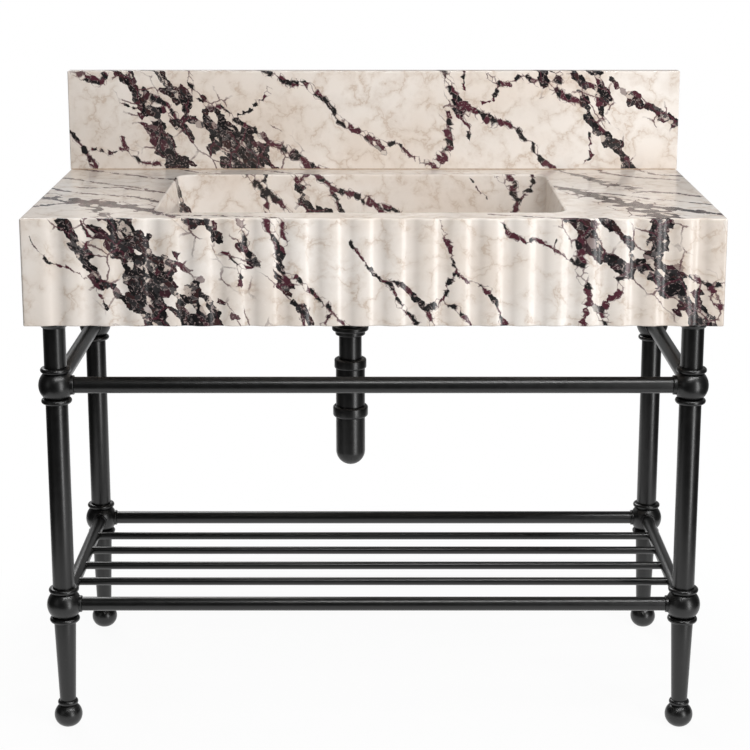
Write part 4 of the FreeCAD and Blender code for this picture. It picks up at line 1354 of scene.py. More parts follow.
@dataclass
class MarbleBlock:
    """The bonded marble slabs: deck, aprons, backsplash and basin.

    Attributes:
        finishes: Materials.
        flute_count: Flutes along the front.
        flute_pitch: Distance between their ridges.
        flute_depth: How deep a flute is cut.
        flute_shift: How far the row's middle lies right of the block's.
        hollow: Radius of a flute's hollow.
        corner: Radius of the block's upright corners.
        ease: Rounding of the deck's edges.
        foot_ease: Rounding of the aprons' lower edges.
        margin: Width of the flat strip kept beside a rounding.
        bowl_wall: Thickness of the bowl's walls.
        bowl_floor: Thickness of the bowl's floor at the walls.
        bowl_corner: Radius of the basin's corners.
        floor_fillet: Rounding between the basin's walls and floor.
        dish: Radius within which the floor falls to the drain.
        recess: Radius of the seat of the waste.
        seat: Depth of that seat.
        drain_hole: Radius of the hole under it.
        bead: Width of the bead of filler behind the deck.
        bead_share: Share of that width at which the bead's hollow runs.
        steps: Straight pieces in a rounding.
        flute_steps: Straight pieces in a quarter of a flute.
        end_columns: Columns of points on the flat strip at each end of the flutes.
        fillet_steps: Straight pieces in the rounding of the basin's floor.
        dish_steps: Rings of the fall to the drain.
        dish_segments: Points in each ring.
    """

    finishes: Finishes
    flute_count: int = 21
    flute_pitch: float = 0.053
    flute_depth: float = 0.005
    flute_shift: float = 0.008
    hollow: float = 0.028906
    corner: float = 0.004
    ease: float = 0.003
    foot_ease: float = 0.002
    margin: float = 0.001
    bowl_wall: float = 0.020
    bowl_floor: float = 0.025
    bowl_corner: float = 0.030
    floor_fillet: float = 0.020
    dish: float = 0.170
    recess: float = 0.036
    seat: float = 0.004
    drain_hole: float = 0.0235
    bead: float = 0.0016
    bead_share: float = 0.35
    steps: int = 5
    flute_steps: int = 7
    end_columns: int = 3
    fillet_steps: int = 8
    dish_steps: int = 12
    dish_segments: int = 96

    def __post_init__(self) -> None:
        """Measure the block, and build the tree that presses the flutes."""
        self.block = Box.of("deck_slab")
        self.bowl = Box.of("basin_bowl")
        half = self.flute_pitch / 2
        self.ridge = (half ** 2 + self.flute_depth ** 2) / (2 * self.flute_depth) - self.hollow
        self.flutes = self.flute_tree()

    def flute_tree(self) -> Tree:
        """Build the tree that presses flutes with soft ridges into a flat front.

        Returns:
            Tree that moves the points that are on the front.
        """
        names = ("Front", "Pitch", "Depth", "Hollow", "Ridge", "Count", "Shift")
        wiring, given, result = new_tree(
            "fluted front", "GeometryNodeTree",
            {"Slab": GEOMETRY, **dict.fromkeys(names, NUMBER), "Material": FINISH}, {"Slab": GEOMETRY})
        front, pitch, depth, hollow, ridge, count, shift = (given[name] for name in names)
        inset = wiring.node("GeometryNodeInputNamedAttribute", {"Name": FLUTE_INSET},
                            data_type="FLOAT").outputs["Attribute"]
        on_front = wiring.math("GREATER_THAN", inset, ALL_ON_FRONT)
        place = wiring.parts(wiring.node("GeometryNodeInputPosition").outputs[0])
        turn = wiring.math("ADD", wiring.math("DIVIDE", wiring.math("SUBTRACT", place["X"], shift), pitch),
                           wiring.math("MULTIPLY", count, 0.5))
        cell = wiring.math("ABSOLUTE", wiring.math("SUBTRACT", wiring.math("FRACT", turn), 0.5))
        inside = wiring.math("MULTIPLY", wiring.math("GREATER_THAN", turn, 0.0),
                             wiring.math("LESS_THAN", turn, count))
        off_centre = wiring.math("MULTIPLY", wiring.either(inside, cell, 0.5), pitch)
        hollow_radius = wiring.math("ADD", hollow, inset)
        centre = wiring.math("SUBTRACT", wiring.math("ADD", front, depth), hollow)
        valley = wiring.math("ADD", centre, self.chord(wiring, hollow_radius, off_centre))
        off_ridge = wiring.math("SUBTRACT", wiring.math("MULTIPLY", pitch, 0.5), off_centre)
        ridge_radius = wiring.math("SUBTRACT", ridge, inset)
        crest = wiring.math("SUBTRACT", wiring.math("ADD", front, ridge),
                            self.chord(wiring, ridge_radius, off_ridge))
        meeting = wiring.math("DIVIDE", wiring.math("MULTIPLY", hollow_radius, pitch),
                              wiring.math("MULTIPLY", wiring.math("ADD", hollow, ridge), 2.0))
        pressed = wiring.either(wiring.math("LESS_THAN", off_centre, meeting), valley, crest)
        moved = wiring.node("GeometryNodeSetPosition", {
            "Geometry": given["Slab"], "Selection": on_front,
            "Position": wiring.plane(place["X"], pressed, place["Z"])})
        wiring.end(moved.outputs[0], given["Material"], result["Slab"], on_front)
        return wiring.tree

    def chord(self, wiring: Wiring, radius: Socket, offset: Socket) -> Socket:
        """Height of a circle over a point off its middle."""
        squares = [wiring.math("MULTIPLY", value, value) for value in (radius, offset)]
        return wiring.math("SQRT", wiring.math("SUBTRACT", *squares))

    def columns(self) -> list[float]:
        """Places across the front where it has points, close together on the ridges.

        Returns:
            X of each column, from left to right.
        """
        half = self.flute_pitch / 2
        meeting = half * self.hollow / (self.hollow + self.ridge)
        steps, ends = self.flute_steps, self.end_columns
        crest = [(half - meeting) * step / steps for step in range(steps)]
        across = [x - half for x in crest]
        across += [meeting * (step / steps - 1) for step in range(2 * steps + 1)]
        across += [half - x for x in reversed(crest[1:])]
        span = self.flute_pitch * self.flute_count
        first = self.flute_shift - span / 2
        last = first + span
        starts = [first + half + self.flute_pitch * flute for flute in range(self.flute_count)]
        edge = self.block.high.x - self.corner
        left = [-edge + (first + edge) * step / (ends + 1) for step in range(1, ends + 1)]
        right = [last + (edge - last) * step / ends for step in range(ends)]
        return left + [start + x for start in starts for x in across] + right

    def front_loop(self, bm: Draft, height: float, inset: float, back: float) -> Loop:
        """Lay down the outline of a slab with a fluted front.

        Args:
            bm: Mesh that is built.
            height: Z of the outline.
            inset: How far it is moved in.
            back: Y of its straight back.

        Returns:
            The loop, from the front's left corner round to the left side.
        """
        left, right, front = self.block.low.x, self.block.high.x, self.block.low.y
        radius = self.corner
        plain = arc((right - radius, front + radius), radius - inset, -90, 0, self.steps)
        plain += [(right - inset, back), (left + inset, back)]
        plain += arc((left + radius, front + radius), radius - inset, 180, 270, self.steps)
        fluted = loop_at(bm, [(x, front + inset) for x in self.columns()], height)
        rest = loop_at(bm, plain, height)
        self.mark(bm, fluted, inset)
        self.mark(bm, rest, OFF_FRONT)
        return fluted + rest

    def mark(self, bm: Draft, loop: Loop, inset: float) -> None:
        """Note the inset of a loop's points.

        Args:
            bm: Mesh that is built.
            loop: The points.
            inset: Their inset, or OFF_FRONT.
        """
        layer = bm.verts.layers.float[FLUTE_INSET]
        for vert in loop:
            vert[layer] = inset

    def rounding(self, height: float, radius: float, upward: bool, steps: int) -> list[Point]:
        """Heights and insets down or up a rounded edge, with a flat strip at each end.

        Args:
            height: Z of the face that the edge bounds.
            radius: Radius of the rounding.
            upward: Whether the face lies above the edge.
            steps: Straight pieces in the rounding.

        Returns:
            Pairs of height and inset, from the side to the face.
        """
        sign = 1 if upward else -1
        levels = [(height - sign * (radius + self.margin), 0.0)]
        for step in range(steps + 1):
            turn = math.pi / 2 * step / steps
            levels.append((height - sign * radius * (1 - math.sin(turn)), radius * (1 - math.cos(turn))))
        return levels + [(height, radius + self.margin)]

    def fluted(self, bm: Draft, name: str, *materials: Material) -> Mesh:
        """Press the flutes into a slab's front, give it the apron's veins and close its flat faces.

        Args:
            bm: Slab with a flat front, open above and below.
            name: Name of the mesh.
            materials: Its finishes, by the numbers of its faces, before the front gets the apron's.

        Returns:
            The fluted slab.
        """
        mesh = to_mesh(bm, name)
        for material in materials:
            mesh.materials.append(material)
        made = grown(mesh, self.flutes, {
            "Front": self.block.low.y, "Pitch": self.flute_pitch, "Count": float(self.flute_count),
            "Shift": self.flute_shift, "Depth": self.flute_depth, "Hollow": self.hollow,
            "Ridge": self.ridge, "Material": self.finishes.apron})
        made.attributes.remove(made.attributes[FLUTE_INSET])
        bm = bmesh.new()
        bm.from_mesh(made)
        open_edges = [edge for edge in bm.edges if edge.is_boundary]
        heights = [edge.verts[0].co.z for edge in open_edges]
        middle = (min(heights) + max(heights)) / 2
        for above in (False, True):
            edges = [edge for edge, height in zip(open_edges, heights) if (height > middle) is above]
            bmesh.ops.triangle_fill(bm, use_beauty=True, use_dissolve=False, edges=edges)
        bmesh.ops.recalc_face_normals(bm, faces=bm.faces)
        bm.to_mesh(made)
        bm.free()
        return made

    def front_skin(self, levels: list[Point], back: float) -> Draft:
        """Start a slab with a flat front that is to be fluted.

        Args:
            levels: Heights and insets of its outlines.
            back: Y of its straight back.

        Returns:
            The slab, open above and below.
        """
        bm = bmesh.new()
        bm.verts.layers.float.new(FLUTE_INSET)
        skin(bm, [self.front_loop(bm, height, inset, back) for height, inset in levels])
        return bm

    def make_apron(self) -> None:
        """Make the fluted front panel."""
        box = Box.of("front_apron")
        levels = [(box.high.z, 0.0)] + self.rounding(box.low.z, self.foot_ease, False, self.steps)
        bm = self.front_skin(levels, box.high.y)
        mesh = self.fluted(bm, "front_apron", self.finishes.apron)
        show("marble_front_apron", mesh, ["front_apron"])

    def make_deck(self) -> None:
        """Make the top slab with its fluted front edge and the rim of the basin."""
        block = self.block
        levels = [(block.low.z, 0.0)] + self.rounding(block.high.z, self.ease, True, self.steps)
        bm = self.front_skin(levels, block.high.y)
        rim = [loop_at(bm, self.basin_outline(inset), height) for height, inset in levels]
        for face in skin(bm, rim):
            face.material_index = 1
        for loop in rim:
            self.mark(bm, loop, OFF_FRONT)
        mesh = self.fluted(bm, "deck", self.finishes.deck, self.finishes.basin)
        show("marble_deck", mesh, ["deck_slab"])

    def basin_outline(self, grow: float) -> Outline:
        """Outline of the basin, moved out."""
        wall = Vector((self.bowl_wall, self.bowl_wall, 0))
        return rounded_rectangle(self.bowl.low + wall, self.bowl.high - wall, self.bowl_corner, grow)

    def make_slab(self, node: str, material: Material, eased: set[str]) -> None:
        """Make a plain slab with rounded edges.

        Args:
            node: CAD node that it stands for.
            material: Its finish.
            eased: Sides whose edges are rounded, of left, right, front, back, top and foot.
        """
        box = Box.of(node)
        levels = [(box.low.z, 0.0)]
        if "foot" in eased:
            levels = self.rounding(box.low.z, self.foot_ease, False, self.steps)[::-1]
        if "top" in eased:
            levels += self.rounding(box.high.z, self.ease, True, self.steps)
        else:
            levels.append((box.high.z, 0.0))
        bm = bmesh.new()
        loops = []
        for height, inset in levels:
            left, right, front, back = (inset if side in eased else 0.0
                                        for side in ("left", "right", "front", "back"))
            outline = self.soft_box((box.low.x + left, box.low.y + front),
                                    (box.high.x - right, box.high.y - back), eased)
            loops.append(loop_at(bm, outline, height))
        name = f"marble_{node}"
        mesh = closed(bm, loops, name)
        paint(mesh, material)
        show(name, mesh, [node])

    def soft_box(self, low: Point, high: Point, eased: set[str]) -> Outline:
        """Outline of a slab seen from above, with its free corners rounded.

        Args:
            low: Its lowest corner.
            high: Its highest corner.
            eased: Sides whose edges are rounded.

        Returns:
            The outline.
        """
        corners = []
        for x, y, sides in ((low[0], low[1], {"left", "front"}), (high[0], low[1], {"right", "front"}),
                            (high[0], high[1], {"right", "back"}), (low[0], high[1], {"left", "back"})):
            corners.append((x, y, self.foot_ease) if sides <= eased else (x, y))
        return soften(corners, self.steps)

    def make_basin(self) -> None:
        """Make the carved bowl, its floor falling to the seat of the waste."""
        waste = Box.of("waste_body")
        low, high = self.bowl.low.z, self.bowl.high.z
        floor = low + self.bowl_floor
        bm = bmesh.new()
        levels = [(high, 0.0)] + self.rounding(floor, self.floor_fillet, False, self.fillet_steps)
        walls = [loop_at(bm, self.basin_outline(-inset), height) for height, inset in levels]
        skin(bm, walls)
        rounds = []
        for step in range(self.dish_steps + 1):
            share = step / self.dish_steps
            eased = share * share * (3 - 2 * share)
            rounds.append((self.dish + (self.recess - self.dish) * share,
                           floor + (waste.high.z - floor) * eased))
        seat = waste.high.z - self.seat
        rounds += [(self.recess, seat), (self.drain_hole, seat), (self.drain_hole, low)]
        rings = [loop_at(bm, circle(waste.middle, radius, self.dish_segments), height)
                 for radius, height in rounds]
        skin(bm, rings)
        fill(bm, walls[-1], rings[0])
        shell = [loop_at(bm, self.basin_outline(self.bowl_wall), height) for height in (low, high)]
        skin(bm, [*shell, walls[0]])
        fill(bm, shell[0], rings[-1])
        mesh = to_mesh(bm, "basin")
        paint(mesh, self.finishes.basin)
        show("marble_basin", mesh, ["basin_bowl"])

    def make_joint(self) -> None:
        """Make the thin bead of filler along the foot of the backsplash."""
        box = Box.of("backsplash")
        hollow = self.bead * self.bead_share
        outline = [(0, 0), (-self.bead, 0), (-hollow, hollow), (0, self.bead)]
        bm = bmesh.new()
        ends = [[bm.verts.new((x, box.low.y + y, box.low.z + z)) for y, z in outline]
                for x in (box.low.x + self.ease, box.high.x - self.ease)]
        mesh = closed(bm, ends, "joint")
        paint(mesh, self.finishes.grout)
        show("backsplash_joint", mesh, [])

    def build(self) -> None:
        """Make all the marble pieces."""
        self.make_deck()
        self.make_apron()
        self.make_basin()
        self.make_slab("backsplash", self.finishes.backsplash, {"left", "right", "front", "top"})
        self.make_slab("left_apron", self.finishes.left, {"left", "foot"})
        self.make_slab("right_apron", self.finishes.right, {"right", "foot"})
        self.make_joint()
        dress("rear_apron", self.finishes.apron)
        dress("corner_blocks", self.finishes.apron)


# Stand


@dataclass
class BlackWork:
    """A sub-assembly of black metal.

    Attributes:
        finishes: Materials.
    """

    finishes: Finishes

    def metal(self, name: str, mesh: Mesh, node: str, body: str = CONSOLE) -> None:
        """Show a piece in satin black."""
        paint(mesh, self.finishes.black)
        show(name, mesh, [node], body)


@dataclass
class Stand(BlackWork):
    """Four legs of tubes, balls and feet, with rails and a shelf of rods between them.

    Attributes:
        end_round: Rounding of the ends of tubes and rails.
        cap: Height of the round cap under the marble.
        cap_foot: Radius of its lower edge.
        cap_flare: Height over which it widens.
        cap_round: Rounding where it stops widening.
        foot_round: Rounding of the lower edges of the caps and the legs.
        bead: Radius of the ring beads beside a ball.
        bead_ring: Radius of the circle that a bead follows.
        ball: Radius of a ball.
        collar_lip: How far a collar stands round its rail.
        collar_root: Where a collar starts inside its ball.
        collar_round: Rounding of a collar's edge.
        taper: Radius of a leg at its lower end.
        stud: Radius of a foot's stud.
        stud_play: Room round the stud in its bore.
        bore_spare: Depth of a leg's bore past the stud.
        chamfer: Width of the edges of a foot's stud and underside.
        neck: Height of a foot's neck.
        bulge: Swell of a foot's ball.
        foot_bead: Swell of a foot's bead.
        foot_base: Radius of a foot's flat underside.
        rod_round: Rounding of the ends of the shelf's rods.
        screw: Radius of a set screw.
        screw_length: Its length.
        screw_chamfer: Chamfer of its lower edge.
        screw_reach: Its distance from the leg's axis.
        screw_key: Radius of its key hole.
        key_depth: Depth of its key hole.
        screw_segments: Faces around it.
        bead_steps: Straight pieces in a ring bead.
        ball_steps: Straight pieces in a ball.
        bulge_steps: Straight pieces in a foot's ball.
        foot_bead_steps: Straight pieces in a foot's bead.
        ball_segments: Faces around a ball.
        collar_segments: Faces around a collar.
        rod_segments: Faces around a rod of the shelf.
    """

    end_round: float = 0.0006
    cap: float = 0.0125
    cap_foot: float = 0.021
    cap_flare: float = 0.005
    cap_round: float = 0.004
    foot_round: float = 0.0008
    bead: float = 0.0045
    bead_ring: float = 0.0215
    ball: float = 0.030
    collar_lip: float = 0.0025
    collar_root: float = 0.008
    collar_round: float = 0.0012
    taper: float = 0.014
    stud: float = 0.006
    stud_play: float = 0.0001
    bore_spare: float = 0.003
    chamfer: float = 0.001
    neck: float = 0.038
    bulge: float = 0.0109
    foot_bead: float = 0.0038
    foot_base: float = 0.013
    rod_round: float = 0.001
    screw: float = 0.0025
    screw_length: float = 0.008
    screw_chamfer: float = 0.0003
    screw_reach: float = 0.041
    screw_key: float = 0.0014
    key_depth: float = 0.003
    screw_segments: int = 24
    bead_steps: int = 16
    ball_steps: int = 28
    bulge_steps: int = 24
    foot_bead_steps: int = 14
    ball_segments: int = 72
    collar_segments: int = 48
    rod_segments: int = 40

    def post(self, corner: str) -> Box:
        """Bounds of a leg's middle post, which lies on the leg's axis."""
        return Box.of(f"{corner}_middle_post")

    def make_posts(self, corner: str) -> None:
        """Make a leg's two posts, the upper one with its cap.

        Args:
            corner: Name of the leg.
        """
        lower, upper = self.post(corner), Box.of(f"{corner}_upper_post")
        place = at(*lower.middle.xy)
        radius, rim = lower.half.x, upper.half.x
        low, high = upper.low.z, upper.high.z
        shelf = high - self.cap
        outline = bar(radius, lower.low.z, lower.high.z, self.end_round)
        self.metal(f"{corner}_middle_tube", turned("tube", outline, place), f"{corner}_middle_post")
        outline = soften([(0, low), (radius, low, self.end_round), (radius, shelf, self.end_round),
                          (self.cap_foot, shelf, self.foot_round),
                          (rim, shelf + self.cap_flare, self.cap_round), (rim, high, self.end_round),
                          (0, high)])
        self.metal(f"{corner}_upper_tube", turned("tube", outline, place), f"{corner}_upper_post")

    def ball_outline(self, centre: float, seat: float) -> Outline:
        """Outline of a ball between its two beads.

        Args:
            centre: Height of the ball's middle.
            seat: Distance from there to the posts.

        Returns:
            The outline of radius and height.
        """
        offset = seat - self.bead
        lean = math.degrees(math.atan2(offset, self.bead_ring))
        upper = arc((self.bead_ring, offset), self.bead, lean - 180, 90, self.bead_steps)
        middle = arc((0, 0), self.ball, -lean, lean, self.ball_steps)
        lower = [(radius, -height) for radius, height in reversed(upper)]
        half = [(0, -seat)] + lower + middle[1:-1] + upper + [(0, seat)]
        return [(radius, centre + height) for radius, height in half]

    def crosses(self, level: str, end: int) -> bool:
        """Tell whether a rail runs from left to right at a level's front (-1) or rear (1)."""
        return level == "lower" or end < 0

    def make_ball(self, corner: str, level: str) -> None:
        """Make a ball fitting with the collars that hold its rails.

        Args:
            corner: Name of the leg.
            level: upper or lower.
        """
        post, rail = self.post(corner), Box.of(f"{level}_front_rail")
        x, y = post.middle.xy
        side, end = CORNERS[corner]
        height = rail.middle.z
        seat = post.low.z - Box.of("lower_front_rail").middle.z
        reach = rail.low.x - self.post("front_left").middle.x
        wide = rail.half.z + self.collar_lip
        body = turned("ball", self.ball_outline(height, seat), at(x, y), self.ball_segments)
        collar = soften([(0, self.collar_root), (wide, self.collar_root), (wide, reach, self.collar_round),
                         (0, reach)])
        arms = [(ALONG_Y, -end)]
        if self.crosses(level, end):
            arms.append((ALONG_X, -side))
        for turn, inward in arms:
            outline = [(radius, along * inward) for radius, along in collar]
            arm = turned("collar", outline, at(x, y, height) @ turn, self.collar_segments)
            body = united(body, arm)
        self.metal(f"{corner}_{level}_joint", body, f"{corner}_{level}_ball")

    def make_lower_leg(self, corner: str) -> None:
        """Make a leg's tapered end and its levelling foot.

        Args:
            corner: Name of the leg.
        """
        place = at(*self.post(corner).middle.xy)
        leg, foot = Box.of(f"{corner}_tapered_leg"), Box.of(f"{corner}_foot")
        low, high, sole, tip = leg.low.z, leg.high.z, foot.low.z, foot.high.z
        hole = self.stud + self.stud_play
        roof = tip + self.bore_spare
        neck = sole + self.neck
        outline = soften([(hole, low), (self.taper, low, self.foot_round), (leg.half.x, high, self.end_round),
                          (0, high), (0, roof), (hole, roof)])
        self.metal(f"{corner}_leg_end", turned("leg_end", outline, place), f"{corner}_tapered_leg")
        outline = [(0, sole), (self.foot_base - self.chamfer, sole)]
        outline += bow((self.foot_base, sole), (self.taper, neck), self.bulge, self.bulge_steps)
        outline += bow((self.taper, neck), (self.taper, low), self.foot_bead, self.foot_bead_steps)[1:]
        outline += [(self.stud, low), (self.stud, tip - self.chamfer), (self.stud - self.chamfer, tip),
                    (0, tip)]
        self.metal(f"{corner}_ball_foot", turned("foot", outline, place), f"{corner}_foot", f"{corner}_foot")

    def make_rails(self) -> None:
        """Make the seven rails between the balls."""
        for level in ("upper", "lower"):
            for side, turn in (("front", ALONG_X), ("rear", ALONG_X), ("left", ALONG_Y), ("right", ALONG_Y)):
                if side == "rear" and not self.crosses(level, 1):
                    continue
                node = f"{level}_{side}_rail"
                box = Box.of(node)
                half = max(box.half.xy)
                outline = bar(box.half.z, -half, half, self.end_round)
                self.metal(f"{node}_tube", turned(node, outline, at(*box.middle) @ turn), node)

    def row_tree(self) -> Tree:
        """Build the tree that lays equal rods side by side.

        Returns:
            Tree with the inputs Rod, Count, Spacing and Material.
        """
        wiring, given, result = new_tree(
            "rod row", "GeometryNodeTree",
            {"Rod": GEOMETRY, "Count": "NodeSocketInt", "Spacing": NUMBER, "Material": FINISH},
            {"Rods": GEOMETRY})
        row = wiring.node("GeometryNodeMeshLine", {"Count": given["Count"],
                                                   "Offset": wiring.plane(0.0, given["Spacing"])})
        wiring.end(wiring.copies(row.outputs[0], given["Rod"]), given["Material"], result["Rods"])
        return wiring.tree

    def make_shelf(self) -> None:
        """Make the shelf's rods."""
        nodes = sorted(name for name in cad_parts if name.startswith("shelf_slat_"))
        boxes = sorted((Box.of(node) for node in nodes), key=lambda box: box.low.y)
        first = boxes[0]
        outline = bar(first.half.z, -first.half.x, first.half.x, self.rod_round)
        rod = turned("rod", outline, at(*first.middle) @ ALONG_X, self.rod_segments)
        mesh = grown(rod, self.row_tree(), {
            "Count": len(nodes), "Spacing": boxes[1].low.y - first.low.y, "Material": self.finishes.black})
        show("shelf_rods", mesh, nodes)

    def screw_tree(self) -> Tree:
        """Build the tree that puts set screws at the ends of the rails.

        Returns:
            Tree with the inputs Screw, the spans between the screws, Rise and Material. High up, no
            rail crosses at the rear.
        """
        spans = ("Long Span", "Deep Span", "Wide Row", "Deep Row", "Rise")
        wiring, given, result = new_tree(
            "set screws", "GeometryNodeTree",
            {"Screw": GEOMETRY, **dict.fromkeys(spans, NUMBER), "Material": FINISH}, {"Screws": GEOMETRY})
        long, deep = given["Long Span"], given["Deep Row"]
        across, back = (
            wiring.node("GeometryNodeMeshGrid", {"Size X": wide, "Size Y": far, "Vertices X": 2,
                                                 "Vertices Y": 2}).outputs[0]
            for wide, far in ((long, deep), (given["Wide Row"], given["Deep Span"])))
        start = wiring.plane(wiring.math("MULTIPLY", long, -0.5), wiring.math("MULTIPLY", deep, -0.5))
        front = wiring.node("GeometryNodeMeshLine", {"Count": 2, "Start Location": start,
                                                     "Offset": wiring.plane(long, 0.0)})
        upper = wiring.node("GeometryNodeTransform", {
            "Geometry": wiring.joined(front.outputs[0], back),
            "Translation": wiring.plane(0.0, 0.0, given["Rise"])})
        points = wiring.joined(across, back, upper.outputs[0])
        wiring.end(wiring.copies(points, given["Screw"]), given["Material"], result["Screws"])
        return wiring.tree

    def make_screws(self) -> None:
        """Make the set screws under the rails' ends, with six-sided key holes."""
        foot = Box.of("grub_screws").low.z
        rise = Box.of("upper_front_rail").low.z - Box.of("lower_front_rail").low.z
        leg = self.post("rear_right").middle
        rim = circle((0, 0), self.screw, self.screw_segments)
        tip = circle((0, 0), self.screw - self.screw_chamfer, self.screw_segments)
        key = []
        one_side = math.radians(60)
        for x, y in circle((0, 0), 1.0, self.screw_segments):
            turn = math.atan2(y, x) % one_side - one_side / 2
            width = self.screw_key / math.cos(turn)
            key.append((x * width, y * width))
        bm = bmesh.new()
        levels = ((rim, self.screw_length), (rim, self.screw_chamfer), (tip, 0.0), (key, 0.0),
                  (key, self.key_depth))
        screw = closed(bm, [loop_at(bm, outline, foot + height) for outline, height in levels], "screw")
        mesh = grown(screw, self.screw_tree(), {
            "Long Span": 2 * (leg.x - self.screw_reach), "Deep Row": 2 * leg.y, "Wide Row": 2 * leg.x,
            "Deep Span": 2 * (leg.y - self.screw_reach), "Rise": rise, "Material": self.finishes.steel})
        show("set_screws", mesh, ["grub_screws"])

    def build(self) -> None:
        """Make all the pieces of the stand."""
        for corner in CORNERS:
            self.make_posts(corner)
            self.make_ball(corner, "upper")
            self.make_ball(corner, "lower")
            self.make_lower_leg(corner)
        self.make_rails()
        self.make_shelf()
        self.make_screws()
        dress("leg_studs", self.finishes.steel)


# Drain


@dataclass
class Drain(BlackWork):
    """The waste, its plug, the tailpiece and the bottle trap.

    Attributes:
        play: Room round a tube or thread in its nut.
        edge_round: Rounding of small edges.
        nut_round: Rounding of the nuts' rims.
        lip: Height of a nut's inner lip.
        tube: Radius of the tailpiece.
        wall: Thickness of the thin tubes.
        shoulder_round: Rounding of the tailpiece's shoulder.
        dip: Radius of the dip tube.
        dip_length: Length of the dip tube.
        tail_thread: Radius of the tail nut's thread.
        neck: Radius of the tail nut's lower step.
        neck_height: Height of that step.
        neck_round: Rounding of that step.
        inner_round: Rounding of the corners inside the nuts.
        crown_round: Rounding of the top nut's upper rim.
        body: Radius of the trap's body.
        body_round: Rounding of its upper edge.
        thread: Radius of its thread.
        thread_height: Height of its thread.
        throat: Radius of its neck.
        boss: Radius of its outlet boss.
        boss_root: Where the boss starts inside the body.
        boss_reach: How far the boss stands from the axis.
        outlet: Radius of the outlet tube.
        outlet_wall: Thickness of the outlet tube.
        swage: How much narrower the outlet tube is in its nut.
        swage_play: Room round it there.
        swage_round: Rounding where it widens.
        cup: Radius of the cup.
        cup_wall: Thickness of the cup.
        cup_play: Room round the cup in its nut.
        union_round: Rounding of the union nut's rims.
        flange: Height of the cup's flange.
        stem: Radius of the plug's stem.
        stem_chamfer: Chamfer of the stem's end.
        plug_edge: Height of the plug's rim.
        plug_dome: Rise of the plug's dome.
        plug_swell: How far the dome stands off a cone.
        crown_steps: Straight pieces in that dome.
        cup_steps: Straight pieces in the cup's round end, outside and inside.
        segments: Faces around the upright pieces.
        ring_segments: Faces around the outlet's nut.
    """

    play: float = 0.0001
    edge_round: float = 0.0006
    nut_round: float = 0.0026
    lip: float = 0.004
    tube: float = 0.0205
    wall: float = 0.0016
    shoulder_round: float = 0.001
    dip: float = 0.014
    dip_length: float = 0.144
    tail_thread: float = 0.0226
    neck: float = 0.027
    neck_height: float = 0.008
    neck_round: float = 0.0018
    inner_round: float = 0.0008
    crown_round: float = 0.004
    body: float = 0.0263
    body_round: float = 0.0012
    thread: float = 0.0284
    thread_height: float = 0.0115
    throat: float = 0.024
    boss: float = 0.020
    boss_root: float = 0.004
    boss_reach: float = 0.042
    outlet: float = 0.016
    outlet_wall: float = 0.0015
    swage: float = 0.0005
    swage_play: float = 0.0001
    swage_round: float = 0.0003
    cup: float = 0.0264
    cup_wall: float = 0.0024
    cup_play: float = 0.0003
    union_round: float = 0.0045
    flange: float = 0.003
    stem: float = 0.004
    stem_chamfer: float = 0.0008
    plug_edge: float = 0.0025
    plug_dome: float = 0.003
    plug_swell: float = 0.00075
    crown_steps: int = 12
    cup_steps: tuple[int, int] = (24, 20)
    segments: int = 80
    ring_segments: int = 72

    def __post_init__(self) -> None:
        """Find the drain's axis, and the outlet's."""
        axis = Box.of("trap_cup").middle
        self.place = at(axis.x, axis.y)
        self.outlet_place = at(axis.x, axis.y, Box.of("outlet_nut").middle.z) @ ALONG_Y

    def upright(self, name: str, outline: Outline, node: str, body: str = CONSOLE) -> None:
        """Show a piece that is turned about the drain's axis."""
        self.metal(name, turned(node, outline, self.place, self.segments), node, body)

    def span(self, node: str) -> Triple:
        """Lowest and highest Z of a node, and its radius."""
        box = Box.of(node)
        return box.low.z, box.high.z, box.half.x

    def make_plug(self) -> None:
        """Make the domed drain plug with its stem."""
        low, high, radius = self.span("drain_plug")
        top = high - self.plug_dome
        rim = top - self.plug_edge
        inner = radius - self.edge_round
        outline = [(0, low), (self.stem - self.stem_chamfer, low), (self.stem, low + self.stem_chamfer),
                   (self.stem, rim), (inner, rim), (radius, rim + self.edge_round),
                   (radius, top - self.edge_round)]
        outline += bow((inner, top), (0, high), self.plug_swell, self.crown_steps)
        self.upright("domed_plug", outline, "drain_plug", "drain_plug")

    def make_tail(self) -> None:
        """Make the tailpiece with its dip tube, and its coupling nut."""
        low, high, _ = self.span("tailpiece")
        shoulder = low + self.dip_length
        floor = shoulder + self.wall
        bore, inner = self.dip - self.wall, self.tube - self.wall
        outline = soften([(bore, low), (self.dip, low), (self.dip, shoulder),
                          (self.tube, shoulder, self.shoulder_round), (self.tube, high), (inner, high),
                          (inner, floor), (bore, floor)])
        self.upright("tail_tube", outline, "tailpiece")
        low, high, radius = self.span("tail_nut")
        step, shelf = low + self.neck_height, low + self.lip
        hole = self.tube + self.play
        outline = soften([(hole, low), (self.neck, low, self.neck_round), (self.neck, step, self.inner_round),
                          (radius, step, self.nut_round), (radius, high, self.nut_round),
                          (self.tail_thread, high), (self.tail_thread, shelf), (hole, shelf)])
        self.upright("coupling_nut", outline, "tail_nut")

